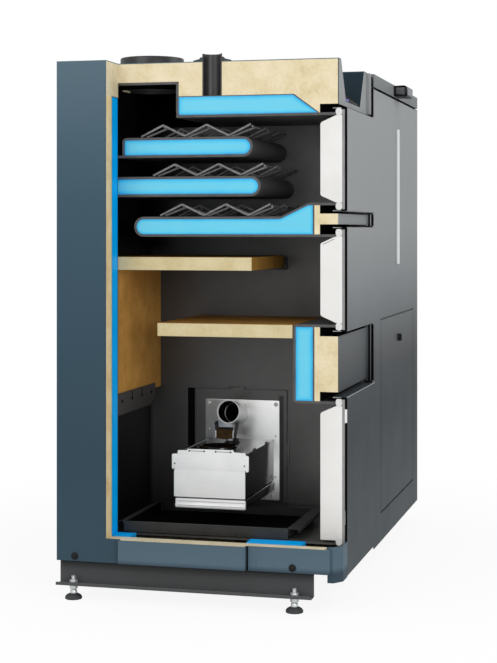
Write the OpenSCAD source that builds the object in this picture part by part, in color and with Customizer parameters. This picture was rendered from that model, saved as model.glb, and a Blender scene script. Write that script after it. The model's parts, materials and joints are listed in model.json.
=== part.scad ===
// Pellet boiler with a side pellet store, shown with its left wall cut away.
// +X is the door side, +Y runs across to the pellet store, +Z is up.
// The origin is on the floor, under the middle of the overall box.

/* [Casing] */
// Depth of the boiler casing, from its rear panel to its front plane
casing_d = 667; // [600:1:760]
// Width of the boiler casing
boiler_w = 528; // [500:1:620]
// Gap between the boiler casing and the pellet store
store_gap = 7; // [6:1:14]
// Width of the pellet store
store_w = 701; // [600:1:850]
// Height of the roof over the floor
roof_z = 1279; // [1260:1:1400]
// Height of the casing's lower edge over the floor
skirt_z = 91; // [84:1:110]
// Thickness of the casing sheet
sheet_t = 2; // [1.5:0.5:3]

/* [Walls] */
// Thickness of the insulation inside the casing
insul_t = 39; // [30:1:60]
// Width of the water jacket
jacket_t = 42; // [30:1:50]
// Thickness of the boiler plate
plate_t = 4; // [4:1:6]

/* [Cutaway] */
// Depth of the uncut stretch at the rear
cut_x = 124; // [110:1:160]
// Height of the uncut stretch at the base
cut_z = 148; // [135:1:160]

/* [Heat exchanger] */
// Height of a water shelf
shelf_h = 48; // [40:1:56]
// Height of the lower shelf's underside over the floor
shelf_low_z = 861; // [840:1:880]
// Step from one shelf up to the next
shelf_step = 95; // [85:1:98]
// Thickness of a shelf's plate
shelf_t = 6; // [4:1:8]
// Height of the top water space
top_water_h = 45; // [30:1:60]
// Height of a turbulator's zigzag
turb_h = 31; // [20:1:34]
// Pitch of a turbulator's zigzag
turb_pitch = 109; // [90:1:120]

/* [Fire space] */
// Length of the upper baffle's ceramic, from the rear wall
baffle_up_l = 370; // [300:1:400]
// Length of the lower baffle's ceramic
baffle_low_l = 332; // [280:1:335]
// Thickness of the ceramic
ceramic_t = 31; // [24:1:36]
// Width of the burner box
burner_w = 180; // [150:1:200]
// Length of the burner box
burner_l = 293; // [240:1:300]
// Height of the burner box
burner_h = 106; // [90:1:120]

/* [Doors] */
// How far the doors' faces stand in front of the casing
door_proud = 20; // [16:1:26]
// Thickness of the doors' white lining
lining_t = 52; // [36:1:52]
// Swing of a door
door_swing = 100; // [80:5:110]

/* [Pellet store] */
// Height of the lid's front band
lid_h = 33; // [26:1:40]
// Width of the service panel
panel_w = 555; // [400:5:560]
// Height of the service panel
panel_h = 503; // [400:1:560]

/* [Base] */
// Height of a base rail
rail_h = 52; // [46:1:56]
// Width of a base rail's flange
rail_w = 38; // [32:1:46]
// Diameter of a foot's pad
pad_d = 41; // [36:1:50]

/* [Hidden] */

$fn = 48;

// Walls, counted from the rear panel (x), the left panel (y) and the floor (z)
wall = sheet_t + insul_t + jacket_t + plate_t;
insul_in = sheet_t + insul_t;
plate_out = wall - plate_t;
shell_t = 2;
water_out = insul_in + shell_t;
far_y = boiler_w - wall;
mid_y = boiler_w / 2;
casing_top = roof_z - sheet_t;
floor_z = cut_z;
floor_plate_z = floor_z - plate_t;
base_wool_z = floor_plate_z - 22;

// Water shelves, one above another
low_z = shelf_low_z;
mid_z = low_z + shelf_step + 1;
up_z = mid_z + shelf_step - 1;
crown_z = up_z + shelf_step;
crown_top = crown_z + shelf_t;
top_water_z = crown_top + top_water_h;
water_top = top_water_z - shell_t;
seal_x = casing_d - 7;
shelf_front = casing_d - 58;
shelf_face_t = 4;

// Flue box and pipes
flue_wall = shelf_t;
flue_front = wall + 190;
flue_top = top_water_z + 35;
collar_r = 80;
collar_low_r = collar_r - 1;
collar_bore = collar_r - 2.5;
collar_x = 153;
collar_rise = 29;
collar_step = 3;
pipe_r = 24.15;
pipe_bore = pipe_r - 3.25;
pipe_x = 360;
pipe_rise = 18;
rosette_r = 47;

// Fire space
baffle_up_z = low_z - 80;
baffle_low_z = baffle_up_z - 158;
baffle_low_end = shelf_front - 53;
pocket_top = baffle_low_z + ceramic_t + 2;
pocket_h = 185;
pocket_z = pocket_top - pocket_h;
pocket_x = shelf_front - 51;
top_slope = [pocket_x, pocket_x + 59];
rear_ceramic_z = 466;
rear_ceramic_t = 32;
burner_x = 340;
burner_z = 230;
burner_low_h = 25;
burner_lip = 6;
frame_t = 6;
frame_w = 242;
frame_z = [floor_z + 25, burner_z + burner_h + 127];
flange_y = far_y - 2 * frame_t;
flange_x = burner_x + 4;
flange_w = 198;
flange_z = [floor_z + 32, burner_z + burner_h + 101];
chute_r = 30;
chute_wall = 2.5;
chute_x = 329;
chute_z = 402;
chute_l = 84;
chute_tilt = 9;
stay_w = [31, 20];
stay_t = 4;
tray_gap = 4;
tray_y = wall + tray_gap;
tray_l = 291;
tray_x = 140;
tray_w = 401;
tray_h = 27;
tray_t = 3;

// Doors: each spans from one seal to the next
door_face = casing_d + door_proud;
door_clear = 6;
cover_back = casing_d + door_clear;
cover_t = 2;
lip_x = casing_d - 15;
plate_x = casing_d + 8;
door_plate_t = 6;
rope_r = 7;
rope_x = plate_x - rope_r - 0.2;
door_end = boiler_w - 66;
hinge_r = 2.4;
hinge_x = door_face - cover_t - hinge_r - 0.1;
hinge_y = door_end - cover_t - hinge_r - 1.6;
hinge_out = 4;
rope_y = door_end - 11;
lining_end = far_y - 8;
door_gap_z = 8;
head_z = roof_z - 108;
up_door_top = head_z - door_gap_z;
up_door_z = low_z + 60;
mid_door_top = low_z + 23;
mid_door_z = pocket_top - 16;
low_door_top = pocket_z + 17;
low_door_z = skirt_z - 21;

// Strips between the doors
front_wool_t = 13;
front_wool_x = shelf_front + front_wool_t;
band_up = [mid_door_top + 6.5, up_door_z - 5.5];
band_low = [low_door_top + 11, mid_door_z - 11];

// Control head
recess_z = head_z + 12;
recess_low = 183;
recess_top = 307;
recess_d = 120;
head_t = 2;

// Pellet store
store_y = boiler_w + store_gap;
unit_w = store_y + store_w;
front_face = casing_d + 16;
store_front_y = door_end + 7;
store_front_end = unit_w - 11;
store_front_mid = (store_front_y + store_front_end) / 2;
store_low_z = skirt_z - 32;
lid_top = roof_z - 2;
lid_z = lid_top - lid_h;
lid_gap = 5;
rim_z = lid_z - lid_gap;
lid_rear = 10;
panel_y = store_front_mid + 7 - panel_w / 2;
panel_z = 137;
panel_gap = 5;
frame_depth = 8;
strip_z = [782, 1158];
strip_t = 5;
bin_in = [30, 20];
bin_mouth = [280, 400, 290, 410];
bin_slope = 90;
handle_l = 92;
handle_d = 39;
handle_h = 32;
latch_r = 11;
latch_t = 11;

// Base
foot_r = 6;
foot_pad_h = 14;
pad_rim_h = 4;
nut_r = 11;
nut_h = 9;
stud_top = 19;
rail_z = skirt_z - 6 - rail_h;
rail_t = 4;
rail_l = casing_d - 46;
rail_web_y = 27;
foot_y = rail_web_y - rail_w / 2;
foot_x = [40, rail_l - 42];
cover_rear_x = [cut_x + 34, 467];
cover_front_x = [468, casing_d - 5];
cover_rear_proud = 14;
base_end = casing_d - 19;

// Middle of the overall box
box_front = front_face + handle_d;
box_low_y = -cover_rear_proud;
box_high_y = unit_w - foot_y + pad_d / 2;
shift = [-box_front / 2, -(box_low_y + box_high_y) / 2, 0];

// Points of an arc about a centre, from one angle to another
function arc(c, r, a0, a1, n = 12) =
  [for (i = [0:n]) c + r * [cos(a0 + (a1 - a0) * i / n), sin(a0 + (a1 - a0) * i / n)]];

// A block between two corners
module block(a, b) {
  translate(a) cube(b - a);
}

// A side view (x, z) given a width across the boiler, from y0 to y1
module across(y0, y1) {
  translate([0, y1, 0]) rotate([90, 0, 0]) linear_extrude(y1 - y0) children();
}

// A front view (y, z) given a depth, from x0 to x1
module along(x0, x1) {
  translate([x0, 0, 0]) rotate([90, 0, 90]) linear_extrude(x1 - x0) children();
}

// ---- Base ----

module rail_profile() {
  // Upright web with a flange that stands outwards at its foot
  union() {
    translate([rail_web_y, rail_z]) square([rail_t, rail_h]);
    translate([rail_web_y + rail_t - rail_w, rail_z]) square([rail_w, rail_t]);
  }
}

module base_rails() {
  color("#3a3a3a") {
    along(0, rail_l) rail_profile();
    translate([0, unit_w, 0]) mirror([0, 1, 0]) along(0, rail_l) rail_profile();
  }
}

module foot() {
  cylinder(h = pad_rim_h, r = pad_d / 2);
  translate([0, 0, pad_rim_h]) cylinder(h = foot_pad_h - pad_rim_h, r1 = pad_d / 2, r2 = foot_r + 4);
  translate([0, 0, foot_pad_h]) cylinder(h = rail_z - foot_pad_h, r = foot_r);
  translate([0, 0, rail_z - nut_h]) cylinder(h = nut_h, r = nut_r, $fn = 6);
  translate([0, 0, rail_z + rail_t]) cylinder(h = nut_h, r = nut_r, $fn = 6);
  translate([0, 0, rail_z + rail_t]) cylinder(h = stud_top, r = foot_r);
}

module levelling_feet() {
  color("#b9bcbc")
    for (x = foot_x, y = [foot_y, unit_w - foot_y]) translate([x, y, 0]) foot();
}

// ---- Casing ----

module left_side_panel() {
  color("#3f505c") {
    block([0, 0, skirt_z], [cut_x, sheet_t, roof_z]);
    block([cut_x, 0, skirt_z], [cover_rear_x[0], sheet_t, cut_z]);
  }
}

module base_covers() {
  color("#4f626e") {
    block([cover_rear_x[0], -cover_rear_proud, skirt_z + 2],
      [cover_rear_x[1], -cover_rear_proud + sheet_t, cut_z]);
    for (x = [cover_rear_x[0], cover_rear_x[1] - sheet_t])
      block([x, -cover_rear_proud, skirt_z + 2], [x + sheet_t, 0, cut_z]);
    block([cover_front_x[0], 0, skirt_z], [cover_front_x[1], sheet_t, cut_z]);
  }
}

module bottom_panel() {
  color("#3a4954") block([sheet_t, sheet_t, skirt_z],
    [base_end, boiler_w - sheet_t, skirt_z + sheet_t]);
}

module rear_panel() {
  color("#3a4954") block([0, sheet_t, skirt_z], [sheet_t, boiler_w - sheet_t, casing_top]);
}

module right_side_panel() {
  color("#6c7a82") {
    block([0, boiler_w - sheet_t, skirt_z], [casing_d - head_t, boiler_w, casing_top]);
    block([casing_d - sheet_t, boiler_w - 28, skirt_z], [casing_d, boiler_w, head_z - 1]);
  }
}

module roof_panel() {
  color("#3a4954") difference() {
    union() {
      block([0, sheet_t, casing_top], [cut_x, wall, roof_z]);
      block([0, wall, casing_top], [casing_d, boiler_w, roof_z]);
    }
    recess_void();
    translate([collar_x, mid_y, casing_top - 1]) cylinder(h = 9, r = collar_low_r);
    translate([pipe_x, wall, casing_top - 1]) cylinder(h = 9, r = pipe_r);
  }
}

module casing_insulation() {
  color("#e3d6b4") difference() {
    block([sheet_t, sheet_t, skirt_z + 2], [seal_x - 4, boiler_w - sheet_t, top_water_z]);
    block([insul_in, insul_in, skirt_z], [casing_d, boiler_w - insul_in, roof_z]);
    block([cut_x, 0, skirt_z], [casing_d, insul_in + 1, roof_z]);
  }
}

module top_insulation() {
  color("#e3d6b4") difference() {
    union() {
      across(wall, boiler_w - insul_in) polygon([
        [sheet_t, casing_top], [sheet_t, top_water_z], [plate_out, top_water_z],
        [plate_out, flue_top], [flue_front, flue_top], [flue_front, top_water_z],
        [top_slope[0] + shell_t, top_water_z], [top_slope[1] + 2 * shell_t, crown_top],
        [front_wool_x, crown_top], [front_wool_x, head_z + 1],
        [casing_d - sheet_t, head_z + 1], [casing_d - sheet_t, casing_top]]);
      block([sheet_t, boiler_w - insul_in, top_water_z],
        [casing_d - sheet_t, boiler_w - sheet_t, casing_top]);
      block([sheet_t, sheet_t, top_water_z], [cut_x, wall, casing_top]);
    }
    recess_tub();
    translate([collar_x, mid_y, flue_top - 1]) cylinder(h = roof_z, r = collar_low_r);
    translate([pipe_x, wall, top_water_z - 1]) cylinder(h = roof_z, r = pipe_r);
  }
}

module base_insulation() {
  color("#e3d6b4") {
    block([cut_x, sheet_t, skirt_z + 2], [base_end, insul_in, cut_z - 2]);
    block([cover_rear_x[0] + sheet_t, -cover_rear_proud + sheet_t, skirt_z + 2],
      [cover_rear_x[1] - sheet_t, 0, cut_z - 2]);
    block([insul_in, insul_in, skirt_z + 2],
      [seal_x - 4, boiler_w - insul_in, base_wool_z]);
  }
}

// Insulation strips between the doors
module front_insulation() {
  color("#e3d6b4") across(wall, far_y) {
    translate([shelf_front, low_z + shelf_t])
      square([front_wool_t, mid_door_top + 51 - low_z - shelf_t]);
    translate([front_wool_x, band_up[0]])
      square([casing_d - sheet_t - front_wool_x, band_up[1] - band_up[0]]);
    translate([shelf_front, pocket_z + shelf_t])
      square([front_wool_t, pocket_h - 2 * shelf_t]);
    translate([front_wool_x, band_low[0]])
      square([casing_d - sheet_t - front_wool_x, band_low[1] - band_low[0]]);
  }
}

module front_bands() {
  color("#6c7a82")
    for (z = [band_up, band_low])
      block([casing_d - sheet_t, wall, z[0]], [casing_d, boiler_w - 38, z[1]]);
}

// ---- Pressure vessel ----

// The water: jacket at the rear and both sides, shelves, front pocket and the space on top
module jacket_water() {
  block([water_out, water_out, floor_z], [plate_out, boiler_w - water_out, water_top]);
  block([water_out, water_out, floor_z], [cut_x, plate_out, water_top]);
  block([water_out, boiler_w - plate_out, floor_z],
    [seal_x - 4, boiler_w - water_out, crown_z]);
}

module top_water() {
  across(wall, boiler_w - water_out) polygon([
    [flue_front, crown_top], [top_slope[1], crown_top], [top_slope[0], water_top],
    [flue_front, water_top]]);
}

module shelf_water(x0, x1, z0, r0) {
  across(wall, far_y)
    polygon(shelf_line(x0 + shelf_t, x1 - shelf_t, z0 + shelf_t, shelf_h - 2 * shelf_t,
      r0 - shelf_t));
}

// Two stretches of the side jacket's foot that the cut leaves
module base_water() {
  for (x = [[cut_x - 12, cut_x + 48], [shelf_front - 153, shelf_front - 20]])
    block([x[0], water_out, base_wool_z], [x[1], plate_out, cut_z]);
}

module water() {
  color("#5fc8f0") {
    jacket_water();
    top_water();
    shelf_water(upper_x[0], upper_x[1], up_z, 10);
    difference() {
      shelf_water(middle_x[0] - 20, middle_x[1], mid_z, 10);
      block([0, 0, 0], [wall, boiler_w, roof_z]);
    }
    block([plate_out, wall, mid_z + shelf_t],
      [wall + 1, far_y, mid_z + shelf_h - shelf_t]);
    across(wall, far_y) polygon(lower_line(shelf_t));
    across(wall, far_y) polygon(pocket_line(shelf_t));
    base_water();
  }
}

// Thin outer plate of the vessel, between its water and the insulation
module outer_shell() {
  color("#4a4a4a") {
    block([insul_in, insul_in, floor_z],
      [water_out, boiler_w - insul_in, top_water_z]);
    block([water_out, insul_in, floor_z], [cut_x, water_out, top_water_z]);
    block([water_out, boiler_w - water_out, floor_z],
      [seal_x - 4, boiler_w - insul_in, crown_top]);
    block([water_out, water_out, water_top], [plate_out, boiler_w - water_out, top_water_z]);
    block([plate_out, water_out, water_top], [cut_x, wall, top_water_z]);
    across(wall, boiler_w - insul_in) polygon([
      [flue_front, water_top], [top_slope[0], water_top], [top_slope[1], crown_top],
      [top_slope[1] + 2 * shell_t, crown_top], [top_slope[0] + shell_t, top_water_z],
      [flue_front, top_water_z]]);
  }
}

module inner_shell() {
  color("#3b3b3b") difference() {
    union() {
      block([plate_out, plate_out, floor_plate_z], [wall, boiler_w - plate_out, crown_z]);
      block([wall, far_y, floor_plate_z], [seal_x - 4, boiler_w - plate_out, crown_z]);
      block([wall, plate_out, floor_plate_z], [cut_x, wall, water_top]);
      block([wall, plate_out, floor_plate_z], [seal_x, far_y, floor_z]);
      block([seal_x - 4, far_y, floor_plate_z], [seal_x, boiler_w - insul_in, crown_z]);
    }
    block([0, wall, mid_z + shelf_t], [wall + 1, far_y, mid_z + shelf_h - shelf_t]);
  }
}

module crown_plate() {
  color("#4a4a4a") block([flue_front - flue_wall, wall, crown_z],
    [seal_x, boiler_w - water_out, crown_top]);
}

// Outline of a shelf that ends in a half round at each free end
function shelf_line(x0, x1, z0, h, r0) = concat(
  arc([x1 - h / 2, z0 + h / 2], h / 2, -90, 90),
  arc([x0 + r0, z0 + h - r0], r0, 90, 180, 6),
  arc([x0 + r0, z0 + r0], r0, 180, 270, 6));

upper_x = [135, 460];
middle_x = [plate_out, 479];
lower_x = 165;
lower_rise_x = [528, 595];
lower_rise = 32;

module shelf_shell(x0, x1, z0, r0) {
  color("#4a4a4a") across(wall, far_y) difference() {
    polygon(shelf_line(x0, x1, z0, shelf_h, r0));
    polygon(shelf_line(x0 + shelf_t, x1 - shelf_t, z0 + shelf_t, shelf_h - 2 * shelf_t,
      r0 - shelf_t));
  }
}

module upper_shelf() {
  shelf_shell(upper_x[0], upper_x[1], up_z, 10);
  color("#4a4a4a") block([cut_x, wall, up_z], [upper_x[0] + 6, far_y, up_z + shelf_t]);
}

module middle_shelf() {
  color("#4a4a4a") difference() {
    shelf_shell(middle_x[0] - 20, middle_x[1], mid_z, 10);
    block([0, 0, 0], [wall, boiler_w, roof_z]);
  }
}

function lower_line(t) = concat(
  [[shelf_front - t * shelf_face_t / shelf_t, low_z + t]],
  [[shelf_front - t * shelf_face_t / shelf_t, low_z + shelf_h + lower_rise - t]],
  [[lower_rise_x[1] - t / 4, low_z + shelf_h + lower_rise - t]],
  [[lower_rise_x[0] - t / 4, low_z + shelf_h - t]],
  arc([lower_x + shelf_h / 2, low_z + shelf_h / 2], shelf_h / 2 - t, 90, 270));

module lower_shelf() {
  color("#4a4a4a") across(wall, far_y) union() {
    difference() {
      polygon(lower_line(0));
      polygon(lower_line(shelf_t));
    }
    for (z = [low_z, low_z + shelf_h + lower_rise - shelf_t])
      translate([shelf_front, z]) square([seal_x - shelf_front, shelf_t]);
  }
}

module front_pocket() {
  color("#4a4a4a") across(wall, far_y) union() {
    difference() {
      polygon(pocket_line(0));
      polygon(pocket_line(shelf_t));
    }
    for (z = [pocket_z, pocket_top - shelf_t])
      translate([shelf_front, z]) square([seal_x - shelf_front, shelf_t]);
  }
}

function pocket_line(t) = concat(
  [[shelf_front - t * shelf_face_t / shelf_t, pocket_z + t]],
  [[shelf_front - t * shelf_face_t / shelf_t, pocket_top - t]],
  arc([pocket_x + 9, pocket_top - 9], 9 - t, 90, 180, 6),
  arc([pocket_x + 9, pocket_z + 9], 9 - t, 180, 270, 6));

module flue_box() {
  color("#1d1d1d") difference() {
    block([plate_out, wall, crown_z], [flue_front, boiler_w - plate_out, flue_top]);
    block([wall, wall - 1, crown_z - 1],
      [flue_front - flue_wall, far_y, flue_top - flue_wall]);
    block([flue_front - flue_wall, 0, crown_z - 1], [casing_d, boiler_w, crown_top]);
    translate([collar_x, mid_y, flue_top - flue_wall - 1]) cylinder(h = flue_wall + 2, r = collar_bore);
  }
}

module flue_collar() {
  tall = roof_z + collar_rise - flue_top;
  color("#242424") translate([collar_x, mid_y, flue_top]) difference() {
    union() {
      cylinder(h = tall, r = collar_low_r);
      translate([0, 0, roof_z + collar_step - flue_top])
        cylinder(h = collar_rise - collar_step, r = collar_r);
    }
    translate([0, 0, -1]) cylinder(h = tall + 2, r = collar_bore);
  }
}

// What the section cuts off a round part that stands on it
module front_half() {
  translate([-2 * rosette_r, -2 * rosette_r, -1])
    cube([4 * rosette_r, 2 * rosette_r, roof_z]);
}

// The pipe and its rosette are cut in half along the section
module flow_pipe() {
  color("#35393c") translate([pipe_x, wall, top_water_z]) difference() {
    cylinder(h = roof_z + pipe_rise - top_water_z, r = pipe_r);
    translate([0, 0, -1]) cylinder(h = roof_z + pipe_rise - top_water_z + 2, r = pipe_bore);
    front_half();
  }
}

module pipe_rosette() {
  color("#2c2f31") translate([pipe_x, wall, roof_z]) difference() {
    cylinder(h = 10, r1 = rosette_r, r2 = pipe_r + 6);
    translate([0, 0, -1]) cylinder(h = 20, r = pipe_r + 0.05);
    front_half();
  }
}

// ---- Ceramics and fittings ----

module upper_baffle() {
  color("#d3c6a1") block([wall, wall, baffle_up_z],
    [wall + baffle_up_l, far_y - 20, baffle_up_z + ceramic_t]);
}

module lower_baffle() {
  color("#d3c6a1") block([baffle_low_end - baffle_low_l, wall, baffle_low_z],
    [baffle_low_end, far_y, baffle_low_z + ceramic_t]);
}

module rear_ceramic() {
  color("#c9bb94") block([wall, wall, rear_ceramic_z],
    [wall + rear_ceramic_t, far_y, baffle_up_z]);
}

module ceramic_bracket() {
  color("#3a3a3a") across(wall, far_y) polygon([
    [wall, rear_ceramic_z - 50], [wall + 3, rear_ceramic_z - 50],
    [wall + rear_ceramic_t + 4, rear_ceramic_z - 4],
    [wall + rear_ceramic_t + 4, rear_ceramic_z + 14],
    [wall + rear_ceramic_t, rear_ceramic_z + 14], [wall + rear_ceramic_t, rear_ceramic_z],
    [wall, rear_ceramic_z]]);
}

// A zigzag of bent rod, seen from the side
wire_t = 6;
function zigzag(x0, n, up) = [for (i = [0:n])
  [x0 + i * turb_pitch / 2, i % 2 == 0 ? up : turb_h - wire_t + up]];

module turbulator(x0, z0, n) {
  wires = 4;
  run = far_y - wall - 30;
  line = zigzag(x0, n, 0);
  for (k = [0:wires - 1]) translate([0, wall + 6 + k * run / (wires - 1), z0])
    across(0, wire_t) polygon(concat(line, [for (i = [n:-1:0]) line[i] + [0, wire_t]]));
  for (i = [0:n]) translate([line[i][0] - wire_t / 2, wall + 6, z0 + line[i][1]])
    cube([wire_t, run + wire_t, wire_t]);
}

module turbulators() {
  color("#56585a") {
    turbulator(181, up_z + shelf_h, 5);
    turbulator(211, mid_z + shelf_h, 5);
    turbulator(229, low_z + shelf_h, 5);
  }
}

module burner_frame() {
  color("#202020") block([burner_x - frame_w / 2, far_y - frame_t, frame_z[0]],
    [burner_x + frame_w / 2, far_y, frame_z[1]]);
}

module burner_flange() {
  color("#cfd2d2") block([flange_x - flange_w / 2, flange_y, flange_z[0]],
    [flange_x + flange_w / 2, flange_y + frame_t, flange_z[1]]);
}

// Burner body over its air box, which stands out a little at the front
module burner_box() {
  color("#dedede") {
    block([burner_x - burner_w / 2, flange_y - burner_l, burner_z],
      [burner_x + burner_w / 2, flange_y, burner_z + burner_h]);
    block([burner_x - burner_w / 2 + 4, flange_y - burner_l - burner_lip,
        burner_z - burner_low_h],
      [burner_x + burner_w / 2 - 2, flange_y, burner_z]);
  }
}

// Tube for the pellets, tilted up towards its open end, on a plate that stands on the burner
module drop_tube() {
  mouth_y = flange_y - chute_l;
  color("#d5d8d8") intersection() {
    difference() {
      union() {
        translate([chute_x, flange_y, chute_z]) rotate([90 - chute_tilt, 0, 0])
          translate([0, 0, -10]) cylinder(h = chute_l + 10, r = chute_r);
        block([chute_x - stay_w[0], mouth_y + 8, burner_z + burner_h],
          [chute_x + stay_w[1], mouth_y + 8 + stay_t, chute_z - 8]);
      }
      translate([chute_x, flange_y, chute_z]) rotate([90 - chute_tilt, 0, 0])
        translate([0, 0, -20]) cylinder(h = chute_l + 30, r = chute_r - chute_wall);
    }
    block([0, 0, 0], [casing_d, flange_y, roof_z]);
  }
}

module ash_tray() {
  color("#2c2c2c") difference() {
    union() {
      block([tray_x - tray_t, tray_y, floor_z + 1],
        [tray_x + tray_w + tray_t, tray_y + tray_l, floor_z + tray_h]);
      block([tray_x - 16, tray_y, floor_z + tray_h - tray_t],
        [tray_x + tray_w + 30, tray_y + tray_l, floor_z + tray_h]);
    }
    block([tray_x, tray_y + tray_t, floor_z + 1 + tray_t],
      [tray_x + tray_w, tray_y + tray_l - tray_t, floor_z + tray_h + 1]);
  }
}

// ---- Control head ----

function recess_shape(t) = [
  [mid_y - recess_low / 2 - t, recess_z - t], [mid_y + recess_low / 2 + t, recess_z - t],
  [mid_y + recess_top / 2 + t, roof_z + 5], [mid_y - recess_top / 2 - t, roof_z + 5]];

function recess_side(t) = [
  [casing_d + 5, recess_z - t - 4], [casing_d, recess_z - t],
  [casing_d - recess_d - t, casing_top], [casing_d - recess_d - t, roof_z + 5],
  [casing_d + 5, roof_z + 5]];

module recess_void() {
  intersection() {
    along(casing_d - 300, casing_d + 5) polygon(recess_shape(0));
    across(0, boiler_w) polygon(recess_side(0));
  }
}

module recess_tub() {
  intersection() {
    along(casing_d - 300, casing_d - head_t) polygon(recess_shape(head_t));
    across(0, boiler_w) polygon(recess_side(head_t));
    block([0, 0, 0], [casing_d, boiler_w, casing_top]);
  }
}

module control_head() {
  color("#3f505c") difference() {
    union() {
      block([casing_d - head_t, wall, head_z], [casing_d, boiler_w, casing_top]);
      recess_tub();
    }
    recess_void();
  }
}

module display() {
  slope = atan2(casing_top - recess_z, recess_d);
  color("#2a2140") translate([casing_d, mid_y - 70, recess_z]) rotate([0, slope, 0])
    translate([-112, 0, 0.2]) cube([88, 140, 3]);
}

// ---- Pellet store ----

module store_front() {
  color("#8b8f91") difference() {
    union() {
      block([front_face - sheet_t, store_front_y, store_low_z],
        [front_face, store_front_end, rim_z]);
      block([casing_d, store_front_end - sheet_t, store_low_z],
        [front_face, store_front_end, rim_z]);
      block([front_face - frame_depth, panel_y - 15, panel_z - 15],
        [front_face - sheet_t, panel_y + panel_w + 15, panel_z + panel_h + 15]);
    }
    block([front_face - frame_depth + 3.5, panel_y - panel_gap, panel_z - panel_gap],
      [front_face + 1, panel_y + panel_w + panel_gap, panel_z + panel_h + panel_gap]);
    block([0, panel_y + 10, panel_z + 10],
      [front_face + 1, panel_y + panel_w - 10, panel_z + panel_h - 10]);
  }
}

module store_casing() {
  color("#3f505c") difference() {
    block([0, store_y, skirt_z], [casing_d, unit_w, rim_z]);
    block([sheet_t, store_y + sheet_t, skirt_z + sheet_t],
      [casing_d + 1, unit_w - sheet_t, rim_z + 1]);
  }
}

bin_top = rim_z - 12;
bin_low = panel_z + panel_h + 60;

// Hopper: straight at its top, then narrowing to a square mouth
module bin_form(t) {
  a = bin_in + [t, t];
  hull() {
    block([a[0], store_y + a[1], bin_top - bin_slope],
      [casing_d - a[0], unit_w - a[1], bin_top]);
    block([bin_mouth[0] + t, store_y + bin_mouth[2] + t, bin_low],
      [bin_mouth[1] - t, store_y + bin_mouth[3] - t, bin_low + 1]);
  }
}

module store_bin() {
  color("#7d8386") difference() {
    union() {
      bin_form(0);
      block([sheet_t, store_y + sheet_t, bin_top - 3],
        [casing_d, unit_w - sheet_t, bin_top]);
    }
    bin_form(sheet_t);
    block([bin_in[0] + sheet_t, store_y + bin_in[1] + sheet_t, bin_top - 2],
      [casing_d - bin_in[0] - sheet_t, unit_w - bin_in[1] - sheet_t, rim_z]);
    block([bin_mouth[0] + sheet_t, store_y + bin_mouth[2] + sheet_t, bin_low - 1],
      [bin_mouth[1] - sheet_t, store_y + bin_mouth[3] - sheet_t, bin_low + 2]);
  }
}

// Outline of the lid in two blocks, shrunk by t on the sides and the top
module lid_form(t, low) {
  block([lid_rear + t, store_y + t, low], [front_face - t, store_front_end - t, lid_top - t]);
  block([lid_rear + t, store_y + t, low], [front_face - 30 - t, unit_w - t, lid_top - t]);
}

module store_lid() {
  color("#4b545a") {
    difference() {
      lid_form(0, lid_z);
      lid_form(sheet_t, lid_z - 1);
    }
    block([front_face - sheet_t, store_front_y, lid_z], [front_face, store_y + 1, lid_top]);
    block([front_face - 14, store_front_y, lid_top - 8],
      [front_face, store_front_y + sheet_t, lid_top]);
    for (y = [store_y + 60, unit_w - 140]) translate([lid_rear, y + 80, lid_z])
      rotate([90, 0, 0]) cylinder(h = 80, r = 4);
  }
}

module lid_handle() {
  color("#1f1f1f") translate([front_face, store_front_mid - 65, lid_z])
    cube([handle_d, handle_l, handle_h]);
}

module level_strip() {
  color("#d9dbdb") block([front_face, store_front_mid - 22, strip_z[0]],
    [front_face + strip_t, store_front_mid + 9, strip_z[1]]);
}

module service_panel() {
  color("#4c5155") block([front_face - sheet_t, panel_y, panel_z],
    [front_face, panel_y + panel_w, panel_z + panel_h]);
}

// Quarter-turn knob with a raised grip across it
module panel_latch() {
  color("#151515") translate([front_face, panel_y + panel_w / 2, panel_z + panel_h - 63]) {
    rotate([0, 90, 0]) cylinder(h = latch_t - 6, r = latch_r);
    translate([latch_t - 6, -3, -latch_r + 2]) cube([6, 6, 2 * latch_r - 4]);
  }
}

// ---- Doors ----

// Cover sheet with its edges folded back
module door_cover(z0, z1, y0) {
  color("#6c7378") {
    block([door_face - cover_t, y0, z0], [door_face, door_end, z1]);
    for (z = [z0, z1 - cover_t]) difference() {
      union() {
        block([cover_back, y0, z], [door_face, door_end, z + cover_t]);
        block([lip_x, y0, z], [cover_back, far_y - 6, z + cover_t]);
      }
      translate([hinge_x, hinge_y, z - 1]) cylinder(h = cover_t + 2, r = hinge_r + 0.1);
    }
    block([cover_back, door_end - cover_t, z0], [door_face, door_end, z1]);
  }
}

// Plate with spacers to the cover and the hinge rod, which stands out above and below
module door_plate(s0, s1, z0, z1, first_y) {
  color("#555555") {
    block([plate_x, wall, s0 - 8], [plate_x + door_plate_t, hinge_y, s1 + 7]);
    for (z = [s0 + 40, s1 - 49], y = [first_y, door_end - 60])
      block([plate_x + door_plate_t, y, z], [door_face - cover_t, y + 20, z + 33]);
    translate([hinge_x, hinge_y, z0 - hinge_out])
      cylinder(h = z1 - z0 + 2 * hinge_out, r = hinge_r);
  }
}

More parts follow.
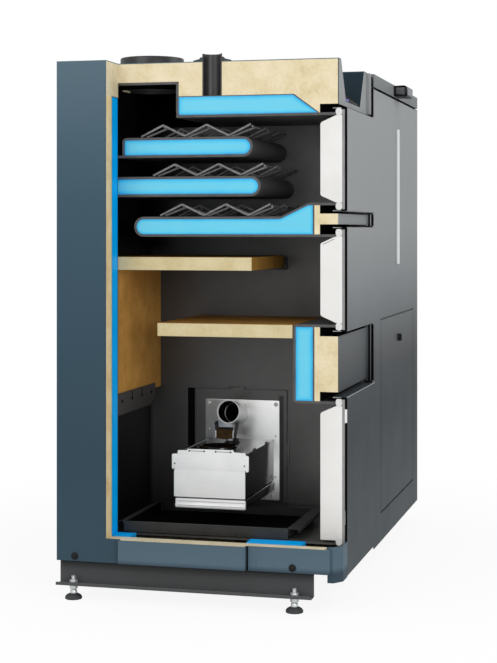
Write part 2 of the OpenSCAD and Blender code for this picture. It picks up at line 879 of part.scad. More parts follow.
// White lining board and the rope seal round it
module door_lining(s0, s1, sill = false) {
  face = plate_x;
  back = face - lining_t;
  low_edge = sill ? [[face, s0 + 2.5], [back, s0 + 2.5]]
    : [[face, s0 + 10], [seal_x + 3, s0 + 10], [seal_x, s0 + 14], [back + 6, s0 + 20],
      [back, s0 + 27]];
  color("#e9e9e7") {
    across(wall, lining_end) polygon(concat(low_edge, [
      [back, s1 - 27], [back + 6, s1 - 20], [seal_x, s1 - 14], [seal_x + 3, s1 - 10],
      [face, s1 - 10]]));
    for (z = [s0, s1]) translate([rope_x, rope_y, z]) rotate([90, 0, 0])
      cylinder(h = rope_y - wall, r = rope_r);
    translate([rope_x, rope_y, s0]) cylinder(h = s1 - s0, r = rope_r);
    for (z = [s0, s1]) translate([rope_x, rope_y, z]) sphere(r = rope_r);
  }
}

// Heights of the rope seals
up_seal = [low_z + 72, crown_top + 1.5];
mid_seal = [pocket_top - 4, low_z + 10];
low_seal = [floor_z + 3, pocket_z + 4];

module upper_door_cover() { door_cover(up_door_z, up_door_top, wall); }
module upper_door_plate() {
  door_plate(up_seal[0], up_seal[1], up_door_z, up_door_top, wall + 50);
}
module upper_door_lining() { door_lining(up_seal[0], up_seal[1]); }
module middle_door_cover() { door_cover(mid_door_z, mid_door_top, wall); }
module middle_door_plate() {
  door_plate(mid_seal[0], mid_seal[1], mid_door_z, mid_door_top, wall + 50);
}
module middle_door_lining() { door_lining(mid_seal[0], mid_seal[1]); }

// The lower cover keeps its whole width below the cut, with a chamfered side
module lower_door_cover() {
  door_cover(low_door_z, low_door_top, wall);
  color("#4b5d68") translate([0, 0, low_door_z]) linear_extrude(cut_z + 4 - low_door_z)
    polygon([[casing_d - 12, 13], [casing_d + 2, 13], [door_face, 38], [door_face, wall],
      [door_face - 2, wall], [door_face - 2, 39], [casing_d + 1, 15], [casing_d - 12, 15]]);
}
module lower_door_plate() {
  door_plate(low_seal[0], low_seal[1], low_door_z, low_door_top, wall);
}
module lower_door_lining() { door_lining(low_seal[0], low_seal[1], sill = true); }

translate(shift) {
  base_rails();
  levelling_feet();
  left_side_panel();
  base_covers();
  bottom_panel();
  rear_panel();
  right_side_panel();
  roof_panel();
  flue_collar();
  flow_pipe();
  pipe_rosette();
  casing_insulation();
  top_insulation();
  base_insulation();
  front_insulation();
  front_bands();
  water();
  outer_shell();
  inner_shell();
  crown_plate();
  upper_shelf();
  middle_shelf();
  lower_shelf();
  front_pocket();
  flue_box();
  upper_baffle();
  lower_baffle();
  rear_ceramic();
  ceramic_bracket();
  turbulators();
  burner_frame();
  burner_flange();
  burner_box();
  drop_tube();
  ash_tray();
  control_head();
  display();
  store_front();
  store_casing();
  store_bin();
  store_lid();
  lid_handle();
  level_strip();
  service_panel();
  panel_latch();
  upper_door_cover();
  upper_door_plate();
  upper_door_lining();
  middle_door_cover();
  middle_door_plate();
  middle_door_lining();
  lower_door_cover();
  lower_door_plate();
  lower_door_lining();
}
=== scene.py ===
"""Looks of the pellet boiler: finishes for its CAD nodes, and the small parts the CAD leaves out.

Sizes in the functions below are in millimetres in the boiler's own frame: X counts from the rear
panel, Y from the left panel's face and Z from the floor. span() and piece() turn them to and from
the frame's metres.
"""
import functools
import json
import math

import bpy
import numpy as np
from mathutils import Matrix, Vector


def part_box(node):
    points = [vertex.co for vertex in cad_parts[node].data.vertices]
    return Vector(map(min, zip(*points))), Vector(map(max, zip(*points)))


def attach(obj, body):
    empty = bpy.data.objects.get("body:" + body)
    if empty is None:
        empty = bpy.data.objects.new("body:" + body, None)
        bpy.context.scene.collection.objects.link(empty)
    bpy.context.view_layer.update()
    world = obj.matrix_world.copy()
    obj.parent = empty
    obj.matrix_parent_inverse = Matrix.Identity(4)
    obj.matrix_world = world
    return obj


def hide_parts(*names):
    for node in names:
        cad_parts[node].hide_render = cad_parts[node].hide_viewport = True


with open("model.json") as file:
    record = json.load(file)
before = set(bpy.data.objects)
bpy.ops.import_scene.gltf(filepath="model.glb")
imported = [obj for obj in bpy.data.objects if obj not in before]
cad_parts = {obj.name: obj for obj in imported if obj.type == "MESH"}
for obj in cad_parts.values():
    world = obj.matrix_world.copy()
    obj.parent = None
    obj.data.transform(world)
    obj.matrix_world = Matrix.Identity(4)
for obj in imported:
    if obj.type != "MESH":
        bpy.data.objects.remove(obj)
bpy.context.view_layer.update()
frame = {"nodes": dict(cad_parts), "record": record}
ORIGIN = np.array([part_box("left_side_panel")[0].x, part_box("left_side_panel")[0].y, 0.0])

bl_info = {
    "name": "Pellet boiler",
    "version": (1, 0, 0),
    "blender": (4, 5, 0),
    "location": "View3D > Sidebar > Boiler",
    "description": "Finishes and small parts of a pellet boiler shown cut away",
    "category": "Object",
}

WALL = 6.0  # boiler plate round the water spaces
SHELF_FLAT = 48.0  # height of the lower shelf over its flat rear part
BURNER_SILL = 231.0  # foot of the burner's box and of its face plate
PANEL_RETURN = 34.0  # width of the rear fold of the left panel
UPRIGHT = (0.0, 0.0, 1.0)  # reference of a rod that lies level


# ---- Colour and nodes ----


def colour(hex_code):
    """sRGB hex to linear RGBA: c / 12.92 below 0.04045, else ((c + 0.055) / 1.055) to the 2.4."""
    c = np.array([int(hex_code[i:i + 2], 16) / 255 for i in (1, 3, 5)])
    linear = np.where(c <= 0.04045, c / 12.92, ((c + 0.055) / 1.055) ** 2.4)
    return (*[float(v) for v in linear], 1.0)


def add_node(tree, kind, inputs=None, stops=(), **settings):
    """Adds one shader node, sets it up, and links each input that is given as a node or socket.

    A node stands for its first output. The stops are places and tones of a colour ramp.
    """
    node = tree.nodes.new("ShaderNode" + kind)
    for key, value in settings.items():
        setattr(node, key, value)
    for key, value in (inputs or {}).items():
        source = value.outputs[0] if isinstance(value, bpy.types.Node) else value
        if isinstance(source, bpy.types.NodeSocket):
            tree.links.new(source, node.inputs[key])
        else:
            node.inputs[key].default_value = value
    if stops:
        ramp = node.color_ramp.elements
        while len(ramp) < len(stops):
            ramp.new(0.5)
        for element, (place, tone) in zip(ramp, stops):
            element.position = place
            element.color = colour(tone) if isinstance(tone, str) else tone
    return node


def sized(where, size, **more):
    """Inputs of a texture whose pattern has this size in millimetres on Object coordinates."""
    return {"Vector": where, "Scale": 1000.0 / size, **more}


def emptied(holder):
    """Empties the node tree of a material or world, and gives add_node() for that tree."""
    holder.use_nodes = True
    holder.node_tree.nodes.clear()
    return functools.partial(add_node, holder.node_tree)


def as_material(surface):
    """Turns a function that adds a surface's nodes into one that makes a material of that name.

    The function is given add() for the new tree and the Object coordinates, and gives its shader.
    """
    def make(name, *tones, **looks):
        material = bpy.data.materials.new(name)
        add = emptied(material)
        where = add("TexCoord").outputs["Object"]
        add("OutputMaterial", {"Surface": surface(add, where, *tones, **looks)})
        return material
    return make


# ---- Finishes ----


@as_material
def powder_coat(add, where, tones, shine=0.18):
    """Polyester powder coat on sheet steel: satin, with a fine orange peel about 2 mm across.

    The tones by height in mm are painted light and shade: the softbox fades towards the floor.
    """
    low, high = tones[0][0], tones[-1][0]
    height = add("SeparateXYZ", {"Vector": where}).outputs["Z"]
    rise = add("MapRange", {
        "Value": height, "From Min": low / 1000, "From Max": high / 1000})
    cloud = add("TexNoise", sized(where, 160, Detail=3.0))
    drift = add("Math", {0: cloud, 1: 0.05, 2: -0.025}, operation="MULTIPLY_ADD")
    place = add("Math", {0: rise, 1: drift}, operation="ADD", use_clamp=True)
    tone = add("ValToRGB", {"Fac": place},
               [((z - low) / (high - low), tint) for z, tint in tones])
    peel = add("TexNoise", sized(where, 2.2, Detail=2.0))
    bump = add("Bump", {"Strength": 0.3, "Distance": 0.00005, "Height": peel})
    gloss = add("MapRange", {"Value": cloud, "To Min": 0.4, "To Max": 0.52})
    return add("BsdfPrincipled", {
        "Base Color": tone, "Roughness": gloss, "Specular IOR Level": shine, "Normal": bump})


@as_material
def mineral_wool(add, where, light, mid, dark):
    """Mineral wool slab, cut: matt, cream, clouded at 45 mm, tufts of 7 mm, fibres of 1.4 mm."""
    cloud = add("TexNoise", sized(where, 45, Detail=4.0, Roughness=0.55))
    tuft = add("TexNoise", sized(where, 7, Detail=5.0, Roughness=0.7))
    fibre = add("TexNoise", sized(where, 1.4, Detail=2.0, Distortion=0.8))
    both = add("Math", {0: tuft, 1: 0.6, 2: cloud}, operation="MULTIPLY_ADD")
    tone = add("ValToRGB", {"Fac": both}, [(0.52, dark), (0.78, mid), (1.05, light)])
    relief = add("Math", {0: fibre, 1: 0.4, 2: tuft}, operation="MULTIPLY_ADD")
    bump = add("Bump", {"Strength": 0.5, "Distance": 0.0012, "Height": relief})
    return add("BsdfPrincipled", {
        "Base Color": tone, "Roughness": 0.95, "IOR": 1.45, "Sheen Weight": 0.15,
        "Sheen Roughness": 0.6, "Normal": bump})


@as_material
def board_with_painted_shade(add, where, light, dark, shaded_light, shaded_dark):
    """Vermiculite board: matt, with flakes of 3 mm; pale where cut, brown painted shade on other
    faces.

    The cut faces look along -Y, so the object normal's y, from -0.7 to -0.3, mixes the two.
    """
    flake = add("TexVoronoi", sized(where, 3.2))
    cloud = add("TexNoise", sized(where, 60, Detail=5.0, Roughness=0.6))
    fleck = add("SeparateColor", {"Color": flake.outputs["Color"]})
    mixed = add("Math", {0: fleck, 1: 0.14, 2: cloud}, operation="MULTIPLY_ADD")
    pale = add("ValToRGB", {"Fac": mixed}, [(0.38, dark), (0.75, light)])
    # brown: painted shade for the faces that turn away from the cut
    brown = add("ValToRGB", {"Fac": mixed}, [(0.38, shaded_dark), (0.75, shaded_light)])
    facing = add("SeparateXYZ", {"Vector": add("TexCoord").outputs["Normal"]})
    side = add("MapRange", {
        "Value": facing.outputs["Y"], "From Min": -0.7, "From Max": -0.3})
    tone = add("Mix", {"Factor": side, 6: pale, 7: brown}, data_type="RGBA")
    bump = add("Bump", {"Strength": 0.3, "Distance": 0.0003, "Height": flake})
    return add("BsdfPrincipled", {
        "Base Color": tone.outputs[2], "Roughness": 0.9, "Specular IOR Level": 0.2,
        "Normal": bump})


@as_material
def fibre_board(add, where, light, dark):
    """Calcium silicate board: smooth and matt, with fibres of 2 mm and faint clouds of 80 mm."""
    cloud = add("TexNoise", sized(where, 80, Detail=2.0))
    fibre = add("TexNoise", sized(where, 2.0, Detail=3.0, Distortion=1.0))
    mixed = add("Math", {0: fibre, 1: 0.3, 2: cloud}, operation="MULTIPLY_ADD")
    tone = add("ValToRGB", {"Fac": mixed}, [(0.35, dark), (0.95, light)])
    bump = add("Bump", {"Strength": 0.2, "Distance": 0.0002, "Height": fibre})
    return add("BsdfPrincipled", {
        "Base Color": tone, "Roughness": 0.85, "Specular IOR Level": 0.25, "Normal": bump})


@as_material
def plate(add, where, light, dark, rough=0.5, metallic=0.0, scale=18.0, gloss=0.5):
    """Steel plate with mill scale, enamel or soot: cloudy at 9 to 50 mm, pitted at 1.8 mm."""
    cloud = add("TexNoise", sized(where, scale, Detail=6.0, Roughness=0.65))
    tone = add("ValToRGB", {"Fac": cloud}, [(0.30, dark), (0.72, light)])
    pit = add("TexNoise", sized(where, 1.8, Detail=3.0))
    bump = add("Bump", {"Strength": 0.35, "Distance": 0.00015, "Height": pit})
    shine = add("MapRange", {
        "Value": cloud, "To Min": rough - 0.08, "To Max": rough + 0.1})
    return add("BsdfPrincipled", {
        "Base Color": tone, "Roughness": shine, "Specular IOR Level": gloss,
        "Metallic": metallic, "Normal": bump})


@as_material
def heat_paint_with_painted_light(add, where, light, dark, soot):
    """Heat paint on boiler plate: half glossy, cloudy at 60 mm, near black by the rear wall.

    The near-black tone, soot with painted shade, fades out from 5 to 110 mm in front of the rear
    wall, and within 15 mm below 0.8 m, where the rear ceramic stands. Light is painted into the
    colour towards the doors and above 0.9 m: it is scaled by 0.42 to 1.3 and 0.9 to 2.1.
    """
    cloud = add("TexNoise", sized(where, 60, Detail=5.0, Roughness=0.6))
    paint = add("ValToRGB", {"Fac": cloud}, [(0.30, dark), (0.72, light)])
    place = add("SeparateXYZ", {"Vector": where})
    x, z = place.outputs["X"], place.outputs["Z"]
    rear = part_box("inner_shell")[0].x + 0.004
    # Near black by the rear wall: soot with painted shade.
    wide = add("MapRange", {
        "Value": x, "From Min": rear + 0.005, "From Max": rear + 0.110},
        interpolation_type="SMOOTHSTEP")
    narrow = add("MapRange", {
        "Value": x, "From Min": rear - 0.005, "From Max": rear + 0.015},
        interpolation_type="SMOOTHSTEP")
    below_ceramic = add("MapRange", {
        "Value": z, "From Min": 0.80, "From Max": 0.84, "To Min": 1.0, "To Max": 0.0})
    paint_share = add("Mix", {"Factor": below_ceramic, 2: wide, 3: narrow})
    # Painted light: the colour is lifted above 0.9 m.
    painted_light_by_height = add("MapRange", {
        "Value": z, "From Min": 0.82, "From Max": 0.96, "To Min": 0.9, "To Max": 2.1},
        interpolation_type="SMOOTHSTEP")
    # Painted light and shade: darker at the rear, lighter towards the doors.
    painted_light_by_depth = add("MapRange", {
        "Value": x, "From Min": rear + 0.213, "From Max": rear + 0.453, "To Min": 0.42,
        "To Max": 1.3})
    painted_light = add("Math", {0: painted_light_by_height, 1: painted_light_by_depth}, operation="MULTIPLY")
    lit_paint = add("VectorMath", {0: paint, "Scale": painted_light}, operation="SCALE")
    tone = add("Mix", {"Factor": paint_share, 6: colour(soot), 7: lit_paint}, data_type="RGBA")
    shine = add("MapRange", {"Value": paint_share, "To Min": 0.05, "To Max": 1.0})
    pit = add("TexNoise", sized(where, 1.8, Detail=3.0))
    bump = add("Bump", {"Strength": 0.25, "Distance": 0.00008, "Height": pit})
    return add("BsdfPrincipled", {
        "Base Color": tone.outputs[2], "Roughness": 0.36, "Specular IOR Level": shine,
        "Normal": bump})


@as_material
def brushed_steel(add, where, light, dark, stretch=(1.0, 30.0, 30.0), rough=0.32, metallic=0.75):
    """Stainless sheet with a brushed grain 0.8 mm wide, drawn coarse enough to show."""
    along = add("Mapping", {"Vector": where, "Scale": stretch})
    grain = add("TexNoise", sized(along, 24, Detail=4.0))
    cloud = add("TexNoise", sized(where, 70, Detail=3.0))
    mixed = add("Math", {0: grain, 1: 0.5, 2: cloud}, operation="MULTIPLY_ADD")
    tone = add("ValToRGB", {"Fac": mixed}, [(0.45, dark), (1.05, light)])
    bump = add("Bump", {"Strength": 0.15, "Distance": 0.0001, "Height": grain})
    return add("BsdfPrincipled", {
        "Base Color": tone, "Roughness": rough, "Metallic": metallic, "Normal": bump})


@as_material
def galvanised(add, where, light, dark):
    """Hot-dip galvanised sheet: spangle crystals about 12 mm across, half dull."""
    crystal = add("TexVoronoi", sized(where, 12))
    tint = add("SeparateColor", {"Color": crystal.outputs["Color"]})
    tone = add("ValToRGB", {"Fac": tint}, [(0.0, dark), (1.0, light)])
    shine = add("MapRange", {"Value": tint.outputs[1], "To Min": 0.35, "To Max": 0.6})
    return add("BsdfPrincipled", {"Base Color": tone, "Roughness": shine, "Metallic": 0.7})


@as_material
def moulded_plastic(add, where, tint, rough=0.45, grit=1.2, gloss=0.5):
    """Moulded ABS: one tone with a fine spark-eroded grain, drawn 1.2 mm so that it shows."""
    grain = add("TexNoise", sized(where, grit, Detail=2.0))
    base = colour(tint)
    raised = (*[min(1.0, c * 1.25 + 0.004) for c in base[:3]], 1.0)
    tone = add("ValToRGB", {"Fac": grain}, [(0.35, base), (0.75, raised)])
    bump = add("Bump", {"Strength": 0.3, "Distance": 0.0001, "Height": grain})
    return add("BsdfPrincipled", {
        "Base Color": tone, "Roughness": rough, "IOR": 1.53, "Specular IOR Level": gloss,
        "Normal": bump})


@as_material
def tinted_resin(add, where, edge, mid, heart, gloss=0.5, glow=0.06):
    """Cast acrylic that stands for water: glossy; pale heart and deep blue edges, painted light
    and shade.

    The vertex value "rim" runs from 0 at the edge to 1 at the heart; clouds of 55 mm drift in it.
    """
    rim = add("Attribute", attribute_name="rim")
    cloud = add("TexNoise", sized(where, 55, Detail=3.0, Roughness=0.55))
    drift = add("Math", {0: cloud, 1: 0.5, 2: -0.25}, operation="MULTIPLY_ADD")
    place = add("Math", {0: rim.outputs["Fac"], 1: drift}, operation="ADD", use_clamp=True)
    tone = add("ValToRGB", {"Fac": place}, [(0.0, edge), (0.42, mid), (1.0, heart)])
    # The emission is a painted glow.
    return add("BsdfPrincipled", {
        "Base Color": tone, "Roughness": 0.35, "IOR": 1.49, "Specular IOR Level": gloss,
        "Emission Color": tone, "Emission Strength": glow})


@as_material
def resin_body(add, where, edge, mid):
    """Cast acrylic away from its lit faces: deep blue with faint clouds of 70 mm."""
    cloud = add("TexNoise", sized(where, 70, Detail=3.0))
    tone = add("ValToRGB", {"Fac": cloud}, [(0.3, edge), (0.8, mid)])
    # The emission is a painted glow.
    return add("BsdfPrincipled", {
        "Base Color": tone, "Roughness": 0.35, "IOR": 1.49, "Emission Color": tone,
        "Emission Strength": 0.06})


@as_material
def studio_floor(add, where, tone):
    """Matt paint, nine tenths white to the camera up to 0.7 m out, and all of it from 1.6 m."""
    ray = add("LightPath").outputs["Is Camera Ray"]
    far = add("VectorMath", {0: where}, operation="LENGTH").outputs["Value"]
    share = add("MapRange", {
        "Value": far, "From Min": 0.7, "From Max": 1.6, "To Min": 0.9, "To Max": 1.0})
    seen = add("Math", {0: ray, 1: share}, operation="MULTIPLY")
    matt = add("BsdfPrincipled", {"Base Color": (*tone, 1.0), "Roughness": 0.9})
    white = add("Emission", {"Color": (1, 1, 1, 1), "Strength": 1.0})
    return add("MixShader", {0: seen, 1: matt, 2: white})


@as_material
def dark_glass(add, where, dark, glow):
    """Cover glass of a display: near black with a violet cast, glossy."""
    cloud = add("TexNoise", sized(where, 120, Detail=1.0))
    tone = add("ValToRGB", {"Fac": cloud}, [(0.35, dark), (0.8, glow)])
    return add("BsdfPrincipled", {
        "Base Color": tone, "Roughness": 0.12, "IOR": 1.52, "Specular IOR Level": 0.15})


def make_finishes():
    """All materials, by the short name that the operators use."""
    return {
        # The tones by height of these powder coats are painted light and shade.
        "panel": powder_coat("blue grey powder coat", [
            (90, "#364954"), (340, "#31444f"), (680, "#364a57"), (930, "#3b505d"),
            (1100, "#445965"), (1260, "#50646f")], shine=0.08),
        "cover": powder_coat("light blue grey powder coat", [(91, "#34434e"), (104, "#50636f"),
                                                            (148, "#4c5f6b")], shine=0.1),
        "head": powder_coat("dark blue powder coat", [(1170, "#1c2931"), (1280, "#212f38")],
                            shine=0.08),
        "front": powder_coat("grey powder coat", [
            (60, "#4d5357"), (90, "#4a5054"), (250, "#3d4346"), (400, "#363b3e"),
            (510, "#404447"), (565, "#4f5254"), (670, "#6b6f71"), (770, "#7f8385"),
            (880, "#8b8e8f"), (1190, "#909394")], shine=0.03),
        # A darker copy of the front's coat: painted shade.
        "lid": powder_coat("satin grey powder coat", [(1230, "#727677"), (1280, "#7b7e80")],
                           shine=0.03),
        # A lighter coat for the lower door's top edge: a painted highlight.
        "painted highlight": powder_coat(
            "worn edge of a powder coat", [(60, "#8b9093"), (1200, "#b4b6b8")]),
        "rail": powder_coat("dark grey powder coat", [(33, "#4d4e4f"), (66, "#454647"),
                                                      (85, "#2c2d2e")]),
        # A lighter coat for the rails' lips: a painted highlight.
        "rail highlight": powder_coat("bare edge of a powder coat", [(30, "#6a6c6d"), (90, "#8a8c8d")]),
        "wool": mineral_wool("mineral wool", "#ddd0b2", "#d5c7a3", "#c6b58c"),
        # A lighter, yellower copy of the wool for the strip that faces the doors: painted light.
        "painted lit wool": mineral_wool("pressed edge of mineral wool", "#f0dcae", "#e6cd98", "#d6b97e"),
        "ceramic": board_with_painted_shade("vermiculite board", "#d6c8a0", "#c6b588", "#cc9a50", "#b3813c"),
        "baffle": board_with_painted_shade("fired vermiculite board", "#cabd98", "#bbab81", "#a07836",
                              "#8a6226"),
        "board": fibre_board("calcium silicate board", "#dedddb", "#d6d5d2"),
        "vessel": plate("boiler plate with mill scale", "#4e4e4e", "#3a3a3a"),
        "inside": heat_paint_with_painted_light("grey heat paint", "#474645", "#373635", "#0a0a0a"),
        "bracket": plate("brown heat paint", "#454341", "#393736", scale=40.0),
        "black": plate("black stove enamel", "#2b2b2b", "#1b1b1b", rough=0.38, scale=50.0),
        "rod": plate(
            "drawn steel rod", "#8b8b8b", "#5f5f5f", rough=0.42, metallic=0.35, scale=9.0),
        "stainless": brushed_steel("brushed stainless sheet", "#e4e6e6", "#c2c6c6"),
        "bright stainless": brushed_steel(
            "satin stainless sheet", "#e2e3e3", "#d2d4d4", rough=0.45, metallic=0.25),
        # Lighter copies of stainless for the flange and tube deep in the fire space: painted
        # light.
        "flange stainless": brushed_steel(
            "rolled stainless plate", "#fbfcfc", "#eef0f0", (30.0, 30.0, 1.0), 0.3, 0.8),
        "tube stainless": brushed_steel(
            "drawn stainless tube", "#f4f5f5", "#e4e7e7", rough=0.25, metallic=0.15),
        "dark stainless": brushed_steel(
            "heat-tinted stainless sheet", "#6a6a6a", "#505050", rough=0.15, metallic=1.0),
        # Near black: soot in the fire space and flue, and painted shade in holes, gaps and
        # recesses.
        "soot": plate("soot", "#0a0a0a", "#040404", rough=0.9, scale=20.0, gloss=0.05),
        "scorched steel": plate("scorched steel", "#4a3618", "#2a1d0c", scale=12.0, gloss=0.15),
        "scorched edge": plate("blued steel", "#232324", "#121213", scale=12.0, gloss=0.15),
        "door plate": plate("zinc-primed door plate", "#8c8d8d", "#7b7c7c", scale=30.0),
        "rope": moulded_plastic("glass-fibre rope", "#c6c6c5", rough=0.85, grit=1.6),
        "zinc": brushed_steel("bright zinc plate", "#e2e5e5", "#b4b8b8", rough=0.3, metallic=0.6),
        "galvanised": galvanised("galvanised sheet", "#8f9698", "#6f7678"),
        "water": resin_body("blue acrylic body", "#0b8fd4", "#1ba0e0"),
        "water face": tinted_resin("blue acrylic face", "#0a90ca", "#3db4d8", "#5dbcd7"),
        # The jacket's faces glow more strongly: a painted glow.
        "jacket face": tinted_resin("deep blue acrylic face", "#0090d8", "#00a4ee", "#20b4f0",
                                    gloss=0.1, glow=0.2),
        "black plastic": moulded_plastic("black ABS", "#161616", gloss=0.12),
        "light plastic": moulded_plastic("pale polycarbonate", "#c9cccd", rough=0.3),
        "rubber": moulded_plastic("EPDM rubber", "#2c2e30", rough=0.7),
        "glass": dark_glass("display glass", "#140d5c", "#2314a0"),
        "grey plastic": moulded_plastic("grey ABS", "#414446", rough=0.5),
        "handle front": moulded_plastic("light grey ABS", "#74777a", rough=0.5),
    }


SLOT_FINISH = {
    "painted_panel": "panel", "painted_front": "front", "painted_rail": "rail",
    "zinc_foot": "zinc", "black_steel": "black", "boiler_plate": "vessel", "bare_steel": "rod",
    "stainless": "stainless", "galvanised": "galvanised", "insulation": "wool",
    "ceramic": "ceramic", "lining_board": "board", "water": "water",
    "black_plastic": "black plastic", "light_plastic": "light plastic", "rubber_seal": "rubber",
    "display_glass": "glass",
}
FINISH = {}


# ---- Shapes ----


def span(node):
    """Lowest and highest corner of a CAD node, in millimetres in the boiler's own frame."""
    low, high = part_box(node)
    return (np.array(low) - ORIGIN) * 1000, (np.array(high) - ORIGIN) * 1000


def unit(vectors):
    """Each vector divided by its length."""
    return vectors / np.linalg.norm(vectors, axis=1, keepdims=True)


def loft(rings, wrap=False):
    """Skin over rings of points: point j of ring i joins point j + 1 and the same on ring i + 1.

    The ends are closed with flat faces, or the last ring joins the first. The signed volume,
    a sixth of the sum of the triple products, tells whether the faces have to be turned round.
    """
    rings = np.asarray(rings, float)
    count, size = rings.shape[:2]
    points = rings.reshape(-1, 3)
    i, j = np.meshgrid(np.arange(count if wrap else count - 1), np.arange(size), indexing="ij")
    k, m = (i + 1) % count, (j + 1) % size
    quads = np.stack([i * size + j, i * size + m, k * size + m, k * size + j], -1).reshape(-1, 4)
    faces = quads.tolist()
    if not wrap:
        faces += [list(range(size))[::-1], list(range((count - 1) * size, count * size))]
    p = points[quads] - points.mean(0)
    volume = np.einsum("ij,ij->", np.cross(p[:, 0], p[:, 1]), p[:, 2])
    volume += np.einsum("ij,ij->", np.cross(p[:, 0], p[:, 2]), p[:, 3])
    if not wrap:
        for ring, sign in ((rings[0], -1), (rings[-1], 1)):
            q = ring - points.mean(0)
            area = np.cross(q, np.roll(q, -1, 0)).sum(0)
            volume += sign * area @ q[0]
    if volume < 0:
        faces = [face[::-1] for face in faces]
    return points, faces


def join(parts):
    """One list of points and faces from several."""
    points, faces, start = [], [], 0
    for part_points, part_faces in parts:
        points.append(part_points)
        faces += [[index + start for index in face] for face in part_faces]
        start += len(part_points)
    return np.concatenate(points), faces


def inset(outline, distance):
    """Outline with each side moved inwards: a corner goes d (n1 + n2) / (1 + n1 . n2)."""
    outline = np.asarray(outline, float)
    turn = outline[:, 0] @ np.roll(outline[:, 1], -1) - outline[:, 1] @ np.roll(outline[:, 0], -1)
    side = unit(np.roll(outline, -1, 0) - outline)
    after = np.stack([-side[:, 1], side[:, 0]], 1) * (1 if turn > 0 else -1)
    before = np.roll(after, 1, 0)
    scale = 1 + (after * before).sum(1, keepdims=True)
    return outline + distance * (after + before) / np.maximum(scale, 0.3)


def arcs(before, p, after, radius, steps):
    """Arcs at corners P, from A to C, which lie on the two sides at the radius from P.

    An arc is ((1 - s)^2 A + 2 w s (1 - s) P + s^2 C) / the sum of the three weights, w being the
    sine of half the corner's angle.
    """
    a, c = p + unit(before - p) * radius, p + unit(after - p) * radius
    one, two = a - p, c - p
    cosine = (one * two).sum(1) / np.linalg.norm(one, axis=1) / np.linalg.norm(two, axis=1)
    w = np.sqrt(np.clip((1 - cosine) / 2, 0, 1))[:, None, None]
    s = np.linspace(0, 1, steps + 1)[None, :, None]
    u, v, q = (1 - s) ** 2, 2 * w * s * (1 - s), s ** 2
    made = (u * a[:, None] + v * p[:, None] + q * c[:, None]) / (u + v + q)
    return made.reshape(-1, p.shape[1])


def rounded(corners, radius, steps=5):
    """Closed outline whose corners are arcs."""
    p = np.asarray(corners, float)
    radius = np.broadcast_to(np.asarray(radius, float).reshape(-1, 1), (len(p), 1))
    return arcs(np.roll(p, 1, 0), p, np.roll(p, -1, 0), radius, steps)


def bent(points, radius, steps=5):
    """Open path whose inner corners are arcs."""
    p = np.asarray(points, float)
    return np.concatenate([p[:1], arcs(p[:-2], p[1:-1], p[2:], radius, steps), p[-1:]])


def folded(line, thick, low, high, axis):
    """Folded sheet: a rectangle carried along a flat line, on the line's left side.

    The line moves sideways by t (n1 + n2) / (1 + n1 . n2), n1 and n2 being its normals.
    """
    line = np.asarray(line, float)
    side = unit(np.diff(line, axis=0))
    normal = np.stack([-side[:, 1], side[:, 0]], 1)
    before, after = np.concatenate([normal[:1], normal]), np.concatenate([normal, normal[-1:]])
    shift = (before + after) / (1 + (before * after).sum(1, keepdims=True))
    inner = line + thick * shift
    rings = np.stack([lift(line, low, axis), lift(line, high, axis),
                      lift(inner, high, axis), lift(inner, low, axis)], 1)
    return loft(rings)


def box_outline(a, b, radius=0.0, steps=4):
    """Rectangle between two corners of a plane, with rounded corners if a radius is given."""
    corners = [(a[0], a[1]), (b[0], a[1]), (b[0], b[1]), (a[0], b[1])]
    return rounded(corners, radius, steps) if radius else np.array(corners, float)


def lift(outline, depth, axis):
    """Puts a flat outline into space: along x it holds (y, z), along y (x, z), along z (x, y)."""
    outline = np.asarray(outline, float)
    place = {"x": (1, 2, 0), "y": (0, 2, 1), "z": (0, 1, 2)}[axis]
    points = np.zeros((len(outline), 3))
    points[:, place] = np.column_stack([outline, np.full(len(outline), float(depth))])
    return points


def slab(outline, low, high, axis, edge=0.6, steps=3):
    """Solid of constant outline whose rims are quarter rounds.

    Over the angle a, the inset is e (1 - sin a) at the depth e (1 - cos a).
    """
    turn = np.linspace(0, math.pi / 2, steps + 1)
    rim = [(edge * (1 - math.sin(a)), edge * (1 - math.cos(a))) for a in turn]
    rings = [lift(inset(outline, i), low + d, axis) for i, d in rim]
    rings += [lift(inset(outline, i), high - d, axis) for i, d in rim[::-1]]
    return loft(rings)


def bar(a, b, low, high, axis, corner, corner_steps, edge, edge_steps):
    """Slab over a rectangle between two corners of its plane."""
    return slab(box_outline(a, b, corner, corner_steps), low, high, axis, edge, edge_steps)


def block(a, b, edge=0.6):
    """Box between two corners with rounded rims."""
    a, b = np.minimum(a, b), np.maximum(a, b)
    axis = int(np.argmin(b - a))
    u, v = [i for i in range(3) if i != axis]
    most = (b - a).min() * 0.45
    edge = min(edge, most)
    return bar((a[u], a[v]), (b[u], b[v]), a[axis], b[axis], "xyz"[axis], min(2 * edge, most), 2,
               edge, 2)


def turned(profile, centre, axis="z", sides=40, loop=False):
    """Turned form: each (radius, height) of the profile becomes a circle about the axis.

    A profile that is itself a closed loop, such as a collar with a bore, needs no end faces.
    """
    profile = np.asarray(profile, float)
    angle = np.linspace(0, 2 * math.pi, sides, endpoint=False)
    radius, height = profile[:, :1], np.repeat(profile[:, 1:], sides, 1)
    u, v = radius * np.cos(angle), radius * np.sin(angle)
    order = {"x": (height, u, v), "y": (u, height, v), "z": (u, v, height)}[axis]
    rings = np.stack(order, -1) + np.asarray(centre, float)
    return loft(rings.swapaxes(0, 1) if loop else rings, wrap=loop)


